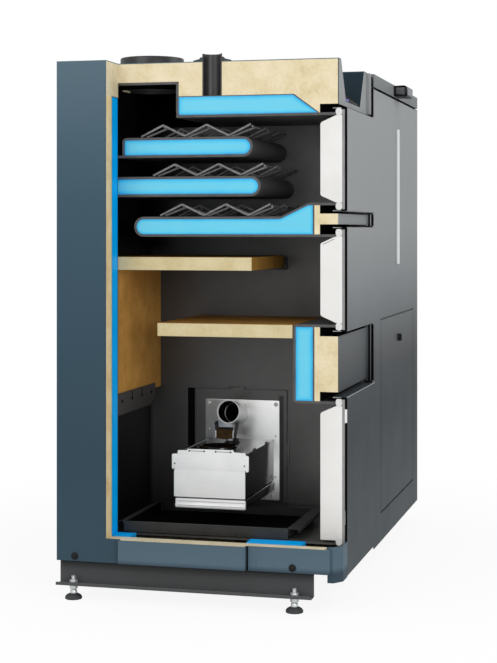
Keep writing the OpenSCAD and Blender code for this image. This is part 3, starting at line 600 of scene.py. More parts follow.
def rod(path, radius, sides=10, reference=(0.0, 1.0, 0.03)):
    """Round bar along a path: a circle across the tangent t, on t x r and t x (t x r)."""
    path = np.asarray(path, float)
    tangent = unit(np.gradient(path, axis=0))
    one = unit(np.cross(tangent, np.asarray(reference, float)))
    two = np.cross(tangent, one)
    angle = np.linspace(0, 2 * math.pi, sides, endpoint=False)[None, :, None]
    around = np.cos(angle) * one[:, None] + np.sin(angle) * two[:, None]
    return loft(path[:, None] + radius * around)


def dome(place, radius, height, axis, sign=1, sides=20):
    """Button head: a cap of height h (0.25 + 0.75 (1 - (r / R)^2)) on a straight rim."""
    share = np.linspace(1, 0.06, 7)
    profile = [(radius, 0.0)] + [(radius * s, height * (0.25 + 0.75 * (1 - s * s))) for s in share]
    return turned([(a, sign * b) for a, b in profile], place, axis, sides)


def piece(name, parts, finish, body, replaces=(), smooth=35.0, rim=None):
    """Makes one object from lists of points and faces, gives it its finish and lets it ride."""
    points, faces = join(parts) if isinstance(parts, list) else parts
    mesh = bpy.data.meshes.new(name)
    mesh.from_pydata((points / 1000 + ORIGIN).tolist(), [], faces)
    mesh.validate()
    if rim is not None:
        value = mesh.attributes.new("rim", "FLOAT", "POINT")
        value.data.foreach_set("value", np.asarray(rim, np.float32))
    mesh.polygons.foreach_set("use_smooth", np.ones(len(mesh.polygons), bool))
    mesh.update()
    made = bpy.data.objects.new(name, mesh)
    bpy.context.scene.collection.objects.link(made)
    mesh.materials.append(FINISH[finish])
    mesh.set_sharp_from_angle(angle=math.radians(smooth))
    if replaces:
        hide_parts(*replaces)
    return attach(made, body)


# ---- Settings ----


class BoilerView(bpy.types.PropertyGroup):
    """Camera, lamps and floor."""

    lens: bpy.props.FloatProperty(
        name="Lens", description="Focal length on a 36 mm sensor", default=84.91, min=20.0,
        unit="CAMERA")
    shift: bpy.props.FloatProperty(
        name="Vertical shift", description="Rise of the lens that keeps uprights upright",
        default=-0.1536)
    turn: bpy.props.FloatProperty(
        name="Turn", description="Turn of the camera from the +Y direction",
        default=math.radians(14.542), subtype="ANGLE")
    place: bpy.props.FloatVectorProperty(
        name="Place", description="Camera place in the boiler's own frame",
        default=(1.378, -3.492, 0.878), subtype="XYZ", unit="LENGTH")
    key_power: bpy.props.FloatProperty(
        name="Key light", description="Power of the softbox over the cut side", default=21.0,
        unit="POWER")
    fill_power: bpy.props.FloatProperty(
        name="Fill light", description="Power of the softbox beside the camera", default=22.0,
        unit="POWER")
    front_power: bpy.props.FloatProperty(
        name="Front light", description="Power of the softbox over the doors", default=14.0,
        unit="POWER")
    sky: bpy.props.FloatProperty(
        name="Sky", description="Strength of the even light from all round", default=0.75)
    floor: bpy.props.FloatVectorProperty(
        name="Floor", description="Colour of the floor", default=colour("#f4f4f4")[:3],
        subtype="COLOR", size=3, min=0.0, max=1.0)


class BoilerSizes(bpy.types.PropertyGroup):
    """Sizes of the small parts, in millimetres."""

    wire: bpy.props.FloatProperty(
        name="Wire", description="Diameter of the turbulator wire in mm", default=5.4, min=3.0)
    rope: bpy.props.FloatProperty(
        name="Rope", description="Diameter of the door rope in mm", default=17.2, min=8.0)
    fold: bpy.props.FloatProperty(
        name="Fold", description="Outer radius of a sheet fold in mm", default=3.0, min=1.0)
    thread: bpy.props.FloatProperty(
        name="Thread pitch", description="Pitch of the feet's thread in mm", default=1.75, min=0.5)


# ---- Pieces ----


class BOILER_OT_stage(bpy.types.Operator):
    """Makes the floor, the even light, the three softboxes and the camera"""

    bl_idname = "boiler.stage"
    bl_label = "Stage"

    def execute(self, context):
        view = context.scene.boiler_view
        self.sky(context, view)
        self.floor(context, view)
        for name, place, target, size, power in (
                ("over the cut side", (-1.1, -2.7, 2.3), (0.0, -0.2, 0.7), 1.8, view.key_power),
                ("over the doors", (2.6, 0.4, 2.2), (0.3, 0.0, 0.9), 1.4, view.front_power),
                ("beside the camera", (1.7, -2.9, 1.2), (0.0, -0.3, 0.6), 1.3, view.fill_power)):
            self.lamp(context, "softbox " + name, place, target, size, power)
        self.camera(context, view)
        context.scene.view_settings.view_transform = "Standard"
        return {"FINISHED"}

    def sky(self, context, view):
        """Even light from all round, which the camera and glass see as white."""
        world = bpy.data.worlds.new("even light")
        context.scene.world = world
        add = emptied(world)
        ray = add("LightPath")
        seen = add("Math", {
            0: ray.outputs["Is Camera Ray"], 1: ray.outputs["Is Transmission Ray"]},
            operation="MAXIMUM")
        even = add("Background", {"Color": (1, 1, 1, 1), "Strength": view.sky})
        white = add("Background", {"Color": (1, 1, 1, 1), "Strength": 1.0})
        add("OutputWorld", {"Surface": add("MixShader", {0: seen, 1: even, 2: white})})

    def camera(self, context, view):
        """Level camera whose lens is shifted, so that uprights stay upright."""
        data = bpy.data.cameras.new("camera")
        data.sensor_width = 36.0
        data.lens = view.lens
        data.shift_y = view.shift
        data.clip_end = 60.0
        camera = bpy.data.objects.new("camera", data)
        context.scene.collection.objects.link(camera)
        camera.location = (view.place[0] + ORIGIN[0], view.place[1] + ORIGIN[1], view.place[2])
        camera.rotation_euler = (math.radians(90), 0.0, view.turn)
        context.scene.camera = camera

    def floor(self, context, view):
        """Pale floor, most of it white to the camera so that only the shadow shows."""
        side = 14.0
        mesh = bpy.data.meshes.new("floor")
        mesh.from_pydata([(-side, -side, 0), (side, -side, 0), (side, side, 0), (-side, side, 0)],
                         [], [(0, 1, 2, 3)])
        mesh.materials.append(studio_floor("white studio floor", view.floor))
        made = bpy.data.objects.new("floor", mesh)
        context.scene.collection.objects.link(made)

    def lamp(self, context, name, place, target, size, power):
        """Square softbox that looks at a point."""
        data = bpy.data.lights.new(name, "AREA")
        data.shape = "SQUARE"
        data.size = size
        data.energy = power
        lamp = bpy.data.objects.new(name, data)
        context.scene.collection.objects.link(lamp)
        aim = np.array(target) - np.array(place)
        flat = math.hypot(aim[0], aim[1])
        lamp.location = place
        lamp.rotation_euler = (math.atan2(flat, -aim[2]), 0.0, math.atan2(-aim[0], aim[1]))


class BOILER_OT_finishes(bpy.types.Operator):
    """Gives every CAD node the finish of its material slot"""

    bl_idname = "boiler.finishes"
    bl_label = "Finishes"

    special = {
        "inner_shell": "inside", "flue_box": "soot", "ceramic_bracket": "bracket",
        "casing_insulation": "painted lit wool", "right_side_panel": "front", "store_lid": "lid",
        "control_head": "head", "upper_baffle": "baffle", "lower_baffle": "baffle",
        "ash_tray": "black", "burner_frame": "inside", "upper_door_plate": "door plate",
        "middle_door_plate": "door plate", "lower_door_plate": "door plate",
    }

    def execute(self, context):
        FINISH.update(make_finishes())
        slots = {row["node"]: row["material_slot"] for row in frame["record"]["subparts"]}
        for name, node in frame["nodes"].items():
            finish = self.special.get(name) or SLOT_FINISH[slots[name]]
            node.data.materials.clear()
            node.data.materials.append(FINISH[finish])
        return {"FINISHED"}


class BOILER_OT_turbulators(bpy.types.Operator):
    """Bends the turbulators from round wire"""

    bl_idname = "boiler.turbulators"
    bl_label = "Turbulators"

    def execute(self, context):
        r = context.scene.boiler_sizes.wire / 2
        low, high = span("upper_shelf")
        parts = []
        for node, start in (("upper_shelf", 181), ("middle_shelf", 211), ("lower_shelf", 229)):
            parts += self.mat(start, self.top(node) + r, low[1] + 8, high[1] - 12, r)
        piece("turbulator_wires", parts, "rod", "boiler", ("turbulators",))
        return {"FINISHED"}

    def top(self, node):
        """Height of the flat top of a shelf, taken over its rear part."""
        low, high = span(node)
        return low[2] + SHELF_FLAT if node == "lower_shelf" else high[2]

    def mat(self, start, floor, near, far, r):
        """Pairs of zigzags with short cross wires: x steps half a pitch, z goes up and down."""
        half_pitch, rise, pair, cross = 54.5, 27.0, 30.0, 74
        k = np.arange(6)
        parts = []
        for y in np.linspace(near, far - pair, 3):
            for part, lower in ((0.0, 0.0), (pair, 6.0)):
                z = floor + np.where(k % 2 == 1, rise - lower, 0.0)
                x = start + k * half_pitch + lower * 0.6
                parts.append(rod(bent(np.stack([x, np.full(len(k), y + part), z], 1), 3.2, 4), r))
            for x in start + k[1::2] * half_pitch + 3:
                ends = [(x, y + 2, floor + rise - 5), (x, y + cross, floor + rise - 7)]
                parts.append(rod(ends, r * 0.8, reference=(1.0, 0.0, 0.03)))
        return parts


class BOILER_OT_doors(bpy.types.Operator):
    """Makes the door covers, lining boards and rope seals"""

    bl_idname = "boiler.doors"
    bl_label = "Doors"

    def execute(self, context):
        sizes = context.scene.boiler_sizes
        for door in ("upper_door", "middle_door", "lower_door"):
            self.cover(door, sizes.fold)
            self.lining(door, sizes.rope / 2, door == "lower_door")
        return {"FINISHED"}

    def cover(self, door, fold):
        """Sheet of 2 mm folded back at the top, the bottom and the hinge side."""
        low, high = span(door + "_cover")
        face, bottom, top, thick = high[0], low[2], high[2], 2.0
        lip = face - 35.0 if door == "lower_door" else low[0]
        back = face - 14.0
        board = span(door + "_lining")
        start, inner = board[0][1], board[1][1] - 15.0

        def channel(rear):
            return bent([(rear, bottom), (face, bottom), (face, top), (rear, top)], fold, 5)

        parts = [folded(channel(lip), thick, start, inner, "y"),
                 folded(channel(back), thick, inner, high[1] - thick, "y"),
                 block((back, high[1] - thick, bottom), (face, high[1], top), 0.7)]
        # A near-black layer over the cut section of the cover: painted shade.
        cut = folded(channel(lip), thick + 2.4, start - 0.3, start + 0.3, "y")
        piece(door + "_cut_edge_shade", cut, "soot", door)
        tips = [slab([(lip + 1, z - 1.2), (lip + 22, z - 0.4), (lip + 22, z + 0.4),
                      (lip + 1, z + 1.2)], start - 0.5, start + 0.4, "y", 0.1, 1)
                for z in (bottom + 1.2, top - 1.2)]
        piece(door + "_lip_edges", tips, "door plate", door)
        if door == "lower_door":
            self.lower_parts(lip, face, start, bottom, high, thick)
        piece(door + "_skin", parts, "front", door, (door + "_cover",))

    def lower_parts(self, lip, face, start, bottom, high, thick):
        """Parts of the lower door alone: a spacer, a painted highlight on its top edge and its
        folded foot.
        """
        door, top, rim = "lower_door", high[2], span("left_side_panel")[0][1] + 13.0
        spacer = block((face - 5.9, start - 0.6, top - 60), (face - 0.2, start + 6, top - 28), 0.4)
        piece("door_spacer", spacer, "board", door)
        # A lighter rod along the top edge: a painted highlight.
        edge = rod([(face - 0.8, start - 0.2, top - 0.8), (face - 0.8, high[1] - 2, top - 0.8)],
                   0.9, reference=UPRIGHT)
        piece("door_top_highlight", edge, "painted highlight", door)
        line = bent([(lip + 3, rim), (face - 18, rim), (face, rim + 25), (face, start)], 2.0, 4)
        sill = inset(np.concatenate([line, [(lip + 3, start)]]), 0.3)
        foot = [folded(line, thick, bottom, span("base_insulation")[1][2] + 6, "z"),
                slab(sill, bottom, bottom + thick, "z", 0.3, 1)]
        piece("door_foot", foot, "cover", door)

    def lining(self, door, r, sill):
        """Fibre board with chamfered edges, and the braided rope laid round it."""
        low, high = span(door + "_lining")
        face, back, margin, step, slope = high[0], low[0], 7, 8.5, 25
        bottom, top, shoulder = low[2] + margin, high[2] - margin, face - 15
        upper = [(face, top - step), (shoulder, top - step), (back, top - slope)]
        lower = [(back, bottom + slope), (shoulder, bottom + step), (face, bottom + step)]
        soft = [0.6, 2.0, 5.0, 5.0, 2.0, 0.6]
        if sill:
            lower = [(back, bottom + 2.5), (face, bottom + 2.5)]
            soft = [0.6, 2.0, 5.0, 2.0, 0.6]
        outline = rounded(upper + lower, soft, 5)
        end = min(high[1] - 31, 433)  # leaves room for the rope at the hinge side
        if door == "middle_door":
            joint = rod([(back + 6, low[1], top - 27.5), (shoulder - 3, low[1], top - 14.5)], 0.6)
            piece("board_joint", joint, "grey plastic", door)
        piece(door + "_board", slab(outline, low[1], end, "y", 0.5, 2), "board", door,
              (door + "_lining",))
        turn_y = high[1] - 1.2 * r
        x = face - r + 0.8
        path = bent([(x, low[1] - 0.6, top), (x, turn_y, top), (x, turn_y, bottom),
                     (x, low[1] - 0.6, bottom)], 9.0, 8)
        piece(door + "_rope", self.braid(path, r), "rope", door)

    def braid(self, path, r):
        """Rope: radius r (1 - 0.05 + 0.05 max(cos(6 a + w s), cos(6 a - w s))) along the path.

        It is pressed nearly square: its section is (|cos a|^0.85, 1.2 |sin a|^0.85), signed.
        """
        step, strand = 2.0, 9.0
        length = np.concatenate([[0], np.cumsum(np.linalg.norm(np.diff(path, axis=0), axis=1))])
        s = np.linspace(0, length[-1], int(length[-1] / step))
        line = np.stack([np.interp(s, length, path[:, i]) for i in range(3)], 1)
        tangent = unit(np.gradient(line, axis=0))
        one = np.broadcast_to([1.0, 0.0, 0.0], tangent.shape)
        two = np.cross(tangent, one)
        a = np.linspace(0, 2 * math.pi, 24, endpoint=False)[None, :]
        wave = 2 * math.pi / strand * s[:, None]
        radius = r * (0.95 + 0.05 * np.maximum(np.cos(6 * a + wave), np.cos(6 * a - wave)))
        ends = np.minimum(s, s[-1] - s)[:, None]
        radius = radius * np.clip(0.9 + ends / 10.0, 0, 1)
        wide, tall = (np.sign(f(a)) * np.abs(f(a)) ** 0.85 for f in (np.cos, np.sin))
        around = wide[..., None] * one[:, None] + 1.2 * tall[..., None] * two[:, None]
        return loft(line[:, None] + radius[..., None] * around)


class BOILER_OT_burner(bpy.types.Operator):
    """Makes the burner: its box, face plate, lip, pot, flange, drop tube and chute bracket"""

    bl_idname = "boiler.burner"
    bl_label = "Burner"

    def execute(self, context):
        low, high = span("burner_box")
        left, right, y = low[0], high[0], low[1] + 6
        self.body(left, right, y, span("burner_flange")[0][1])
        self.face(left, y)
        self.lip(left + 4, right, y)
        self.flange()
        self.frame()
        self.tube()
        self.bracket()
        return {"FINISHED"}

    def body(self, left, right, y, back):
        """Folded box over an air box, with a round fire pot let into its top."""
        top = 336.0
        pot = (left + 75, y + 134, top)
        rim = [(43, 0), (47.5, 0), (47.5, 2.6), (46.2, 3.6), (44.2, 3.6), (43, 2.6)]
        parts = [
            bar((left + 2, BURNER_SILL), (right - 2, top), y + 1.5, back, "y", 2.0, 3, 0.3, 1),
            bar((left + 5, 206.0), (right, 228.5), y + 1.5, back, "y", 2.0, 3, 0.3, 1),
            block((left + 8, y + 4, 227), (right - 8, back - 2, 233), 0.2),
            turned(rim, pot, "z", 48, loop=True)]
        for x0, x1 in ((left, left + 9), (right - 9, right)):
            parts.append(bar((x0, top - 4), (x1, top + 1.2), y + 20, back - 8, "y",
                             0.5, 1, 0.2, 1))
        for start in (y + 74, y + 196):
            ear = [(start, top), (start + 30, top), (start + 27, top + 6), (start + 3, top + 6)]
            parts.append(slab(rounded(ear, 1.2, 3), right - 2.4, right - 0.6, "x", 0.3, 1))
        piece("burner_body", parts, "dark stainless", "boiler", ("burner_box",))
        floor = turned([(42.8, 0.4), (42.8, 0.9), (20, 0.6), (0.5, 0.5)], pot)
        piece("burner_pot_floor", floor, "soot", "boiler")

    def face(self, left, y):
        """Face plate with an ear on each side, a raised middle, two slots and two screws."""
        z = BURNER_SILL
        corners = [
            (0, 0), (178.5, 0), (178.5, 65), (187.4, 65), (187.4, 104.5), (180, 104.5),
            (179.6, 110.5), (150.5, 111.8), (149.5, 116.6), (34, 116.4), (33, 112.8),
            (9.8, 112.4), (9, 103.5), (-5.4, 103.5), (-5.4, 66), (0, 66)]
        soft = [1.2, 1.2, 0.8, 4.0, 4.0, 0.8, 1.6, 0.8, 1.6, 1.6, 0.8, 1.6, 0.8, 4.0, 4.0, 0.8]
        outline = rounded(np.array(corners) + (left, z), soft, 4)
        piece("burner_face", slab(outline, y, y + 2.0, "y", 0.6, 2), "bright stainless", "boiler")
        # Slots and holes drawn as dark patches: painted shade.
        slots = ((38.5, 76.5), (105.0, 142.4))
        holes = [bar((left + x0, z + 111.0), (left + x1, z + 112.2), y - 0.25, y + 0.5, "y",
                     0.5, 1, 0.1, 1) for x0, x1 in slots]
        holes += [bar((left + x, z + h), (left + x + 1.4, z + h + 8), y - 0.2, y + 0.5, "y",
                      0.4, 1, 0.05, 1) for x, h in ((-0.4, 62), (178.6, 60))]
        spots = [(x, 111.6, 2.1) for ends in slots for x in ends]
        spots += [(1.9, 80, 1.9), (176.7, 79.6, 1.9)]
        holes += [turned([(0.2, 0.7), (r, 0.7), (r, 0.0)], (left + x, y - 0.35, z + h), "y", 16)
                  for x, h, r in spots]
        piece("burner_face_hole_shade", holes, "soot", "boiler")

    def lip(self, left, right, y):
        """Rolled lip under the face: a section in (y, z) carried along x, closed at its ends."""
        section = [(y + 6, 227.6), (y - 1.5, 227.6), (y - 3.4, 225.8), (y - 3.0, 217.5),
                   (y - 4.8, 215.0), (y - 6.0, 212.6), (y - 6.0, 208.6), (y - 3.6, 205.4),
                   (y + 1, 204.8), (y + 6, 205.2)]
        outline = rounded(section, 1.0, 3)
        ends = [(left, 2.2), (left + 0.7, 0.9), (left + 2.4, 0.0),
                (right - 2.4, 0.0), (right - 0.7, 0.9), (right, 2.2)]
        rings = [lift(inset(outline, i), x, "x") for x, i in ends]
        # Grey lines across the lip stand for its grooves: painted shade.
        shade_lines = [bar((left + 8, z), (right - 2, z + 0.9), y + a, y + a + 1.5, "y", 0.3, 1, 0.1, 1)
                 for z, a in ((221.0, -3.5), (211.5, -6.3))]
        piece("burner_lip_groove_shade", shade_lines, "rod", "boiler")
        end = bar((y - 4.2, 207.5), (y - 2.4, 226.2), left + 4.6, left + 6.2, "x", 0.6, 2, 0.2, 1)
        piece("burner_lip", [loft(rings), end], "bright stainless", "boiler")

    def flange(self):
        """Square plate with hex-socket screws."""
        low, high = span("burner_flange")
        y, (wide, _, tall) = low[1], high - low
        plate_shape = bar((low[0], low[2]), (high[0], high[2]), y, high[1], "y", 2.0, 3, 0.5, 2)
        piece("burner_flange_plate", plate_shape, "flange stainless", "boiler",
              ("burner_flange",))
        large = ((10, tall - 10), (wide - 9, tall - 10), (wide - 18, 11), (14, 11))
        small = ((11, 178), (wide - 10, 166), (11, 60), (wide - 10, 60))
        screws = [dome((low[0] + a, y, low[2] + b), 5.2, 2.4, "y", -1) for a, b in large]
        screws += [dome((low[0] + a, y, low[2] + b), 2.8, 1.4, "y", -1, 14) for a, b in small]
        piece("flange_screws", screws, "bright stainless", "boiler")

    def frame(self):
        """Frame behind the flange: two tabs, and a slot and a gap along two sides in painted
        shade.
        """
        (left, near, foot), (right, y, top) = span("burner_frame")
        tab = rounded([(left + 85, top - 1), (left + 129, top - 1), (left + 128, top + 6),
                       (left + 86, top + 6)], 1.5, 3)
        tabs = [slab(tab, y - 5, y, "y", 0.5, 2),
                bar((right - 1, foot + 104), (right + 6, foot + 150), y - 5, y, "y",
                    1.5, 3, 0.5, 2)]
        piece("frame_tabs", tabs, "inside", "boiler")
        low, high = span("burner_flange")
        # A dark strip along two sides of the flange, and a dark slot: painted shade.
        gaps = [bar(a, b, near - 0.4, near + 0.2, "y", 1.0, 2, 0.1, 1) for a, b in (
            ((high[0] - 2, low[2] - 6), (high[0] + 10, top - 14)),
            ((low[0], foot + 0.5), (high[0] - 2, low[2] + 2)))]
        piece("frame_gap_shade", gaps, "black", "boiler")
        hole = bar((left - 25, foot + 140), (left - 6, top + 1), y - 0.8, y, "y", 1.0, 2, 0.2, 1)
        piece("frame_slot_shade", hole, "soot", "boiler")

    def tube(self):
        """Drop tube: a section turned about an axis that tilts up by 9 degrees to its mouth."""
        high = span("drop_tube")[1]
        r, wall, end, tilt = 30.0, 2.4, 84.0, math.radians(9)
        root = np.array([high[0] - r, high[1], 402.0])
        along = np.array([0.0, -math.cos(tilt), math.sin(tilt)])
        up = np.array([0.0, math.sin(tilt), math.cos(tilt)])
        angle = np.linspace(0, 2 * math.pi, 64, endpoint=False)
        around = np.cos(angle)[:, None] * np.array([1.0, 0, 0]) + np.sin(angle)[:, None] * up

        def carried(section):
            radius, height = np.array(section).T[:, None, :, None]
            return root + radius * around[:, None] + height * along

        inner = r - wall
        pipe = carried([
            (r, -6.0), (r, end - 0.8), (r - 0.7, end), (inner + 0.5, end), (inner, end - 0.8),
            (inner, 22.0), (inner - 2.0, 21.0), (inner - 2.0, 14.0), (inner, 13.0), (inner, -6.0)])
        pipe[..., 1] = np.minimum(pipe[..., 1], high[1] + 2)
        piece("drop_tube_pipe", loft(pipe, wrap=True), "tube stainless", "boiler",
              ("drop_tube",))
        # A near-black lining inside the tube: painted shade.
        dark = carried([
            (inner - 0.1, 2.0), (inner - 0.1, 76.0), (inner - 1.2, 78.0), (inner - 1.6, 76.0),
            (inner - 1.6, 8.0), (2.0, 7.0), (0.5, 7.0), (0.5, 2.0)])
        piece("drop_tube_inner_shade", loft(dark, wrap=True), "soot", "boiler")

    def bracket(self):
        """Chute bracket under the mouth: a scorched plate between two arms that lean outwards."""
        y, z, left, foot = span("drop_tube")[0][1] + 4, 346.0, 298.5, 336
        outline = rounded([(left, z + 1), (left + 22, z - 2.5), (left + 43, z + 1),
                           (left + 43.5, z + 28), (left - 0.5, z + 28)], [1, 10, 1, 1, 1], 4)
        piece("chute_plate", slab(outline, y, y + 2, "y", 0.4, 1), "scorched steel", "boiler")
        arms = []
        for x, lean in ((left - 1.5, -3.5), (left + 43, 8.5)):
            arm = [(x, z - 1), (x + 2.2, z - 1), (x + 2.2 + lean, z + 42), (x + lean, z + 42)]
            arms.append(slab(arm, y - 1.0, y + 26, "y", 0.3, 1))
        arms += [
            bar((left + 2, z + 24), (left + 42, z + 29), y - 0.8, y + 5, "y", 0.6, 2, 0.3, 1),
            block((left + 25, y + 2, foot), (left + 27.4, y + 8, z + 2), 0.4),
            block((left + 46, y - 14, foot), (left + 57, y + 12, z + 1), 0.8),
            block((left + 20, y + 2, foot), (left + 57, y + 24, foot + 2.2), 0.5)]
        piece("chute_arms", arms, "scorched edge", "boiler")
        # Bright strips on the arms' edges: painted highlights.
        edges = [bar((x, z + 2), (x + 3.2, z + 21), y - 1.8, y - 0.6, "y", 0.8, 2, 0.3, 1)
                 for x in (left - 3.6, left + 42.4)]
        piece("chute_edge_highlights", edges, "bright stainless", "boiler")


class BOILER_OT_water(bpy.types.Operator):
    """Sets a pale face, with painted shade at its edges and a painted glow, into each cut water
    space
    """

    bl_idname = "boiler.water"
    bl_label = "Water faces"

    def execute(self, context):
        self.parts, self.rims = [], []
        cut = span("upper_shelf")[0][1]
        front = span("front_insulation")[0][0] - 4.0
        for node, left, soft in (("upper_shelf", 141.0, 4.0), ("middle_shelf", 90.0, 1.0)):
            low, high = span(node)
            half = (high[2] - low[2]) / 2 - WALL
            self.face(box_outline((left, low[2] + WALL), (high[0] - WALL, high[2] - WALL)),
                      [soft, half, half, soft], cut)
        low, high = span("lower_shelf")
        left, base, flat = low[0] + WALL, low[2] + WALL, low[2] + SHELF_FLAT - WALL
        half, top = (flat - base) / 2, high[2] - WALL
        self.face([(left, base), (front, base), (front, top), (593.5, top), (526.5, flat),
                   (left, flat)], [half, 1.5, 1.5, 6.0, 8.0, half], cut, reach=8.0)
        low, high = span("front_pocket")
        self.face(box_outline((low[0] + WALL, low[2] + WALL), (front, high[2] - WALL)),
                  [5, 1.5, 1.5, 5], cut)
        base, top = span("crown_plate")[1][2], span("outer_shell")[1][2] - 2
        left = span("flue_box")[1][0]
        self.face([(left, base), (617.0, base), (558.0, top), (left, top)], [6, 1.5, 3, 1.5], cut)
        piece("water_faces", self.parts, "water face", "boiler",
              rim=np.concatenate(self.rims))
        self.jacket()
        return {"FINISHED"}

    def jacket(self):
        """Narrow faces of the side jacket: its uncut end and two stretches of its foot."""
        self.parts, self.rims = [], []
        low, high = span("water")
        end = span("left_side_panel")[1][0] - PANEL_RETURN
        near, far = low[1], span("inner_shell")[0][1]
        foot = span("outer_shell")[0][2]
        self.face(box_outline((near, foot), (far, high[2])), 1.0, end, "x", 1, 0.3)
        for x0, x1 in ((end, 172.0), (456.0, 589.0)):
            self.face(box_outline((x0, near), (x1, far)), 1.0, foot, "z", 1, 0.3)
        piece("jacket_faces", self.parts, "jacket face", "boiler",
              rim=np.concatenate(self.rims))

    def face(self, corners, radii, plane, axis="y", sign=-1, share=1.0, reach=12.0):
        """Rings of the outline moved inwards by i, up to the reach; rim is share i / reach."""
        corners = np.asarray(corners, float)
        radii = np.broadcast_to(radii, len(corners)).astype(float)
        steps = np.array([0.2, 0.2, 0.6, 1.4, 2.5, 3.9, 5.5, 7.4, 9.6, 12.0]) / 12.0
        lifts = np.array([-1.5, 0.15, 0.35] + [0.4] * 7)
        rings = [lift(rounded(inset(corners, i), np.maximum(radii - i, 0.05) * 0.998, 10),
                      plane + sign * d, axis) for i, d in zip(steps * reach, lifts)]
        self.parts.append(loft(rings))
        self.rims.append(np.repeat(steps * share, len(rings[0])))


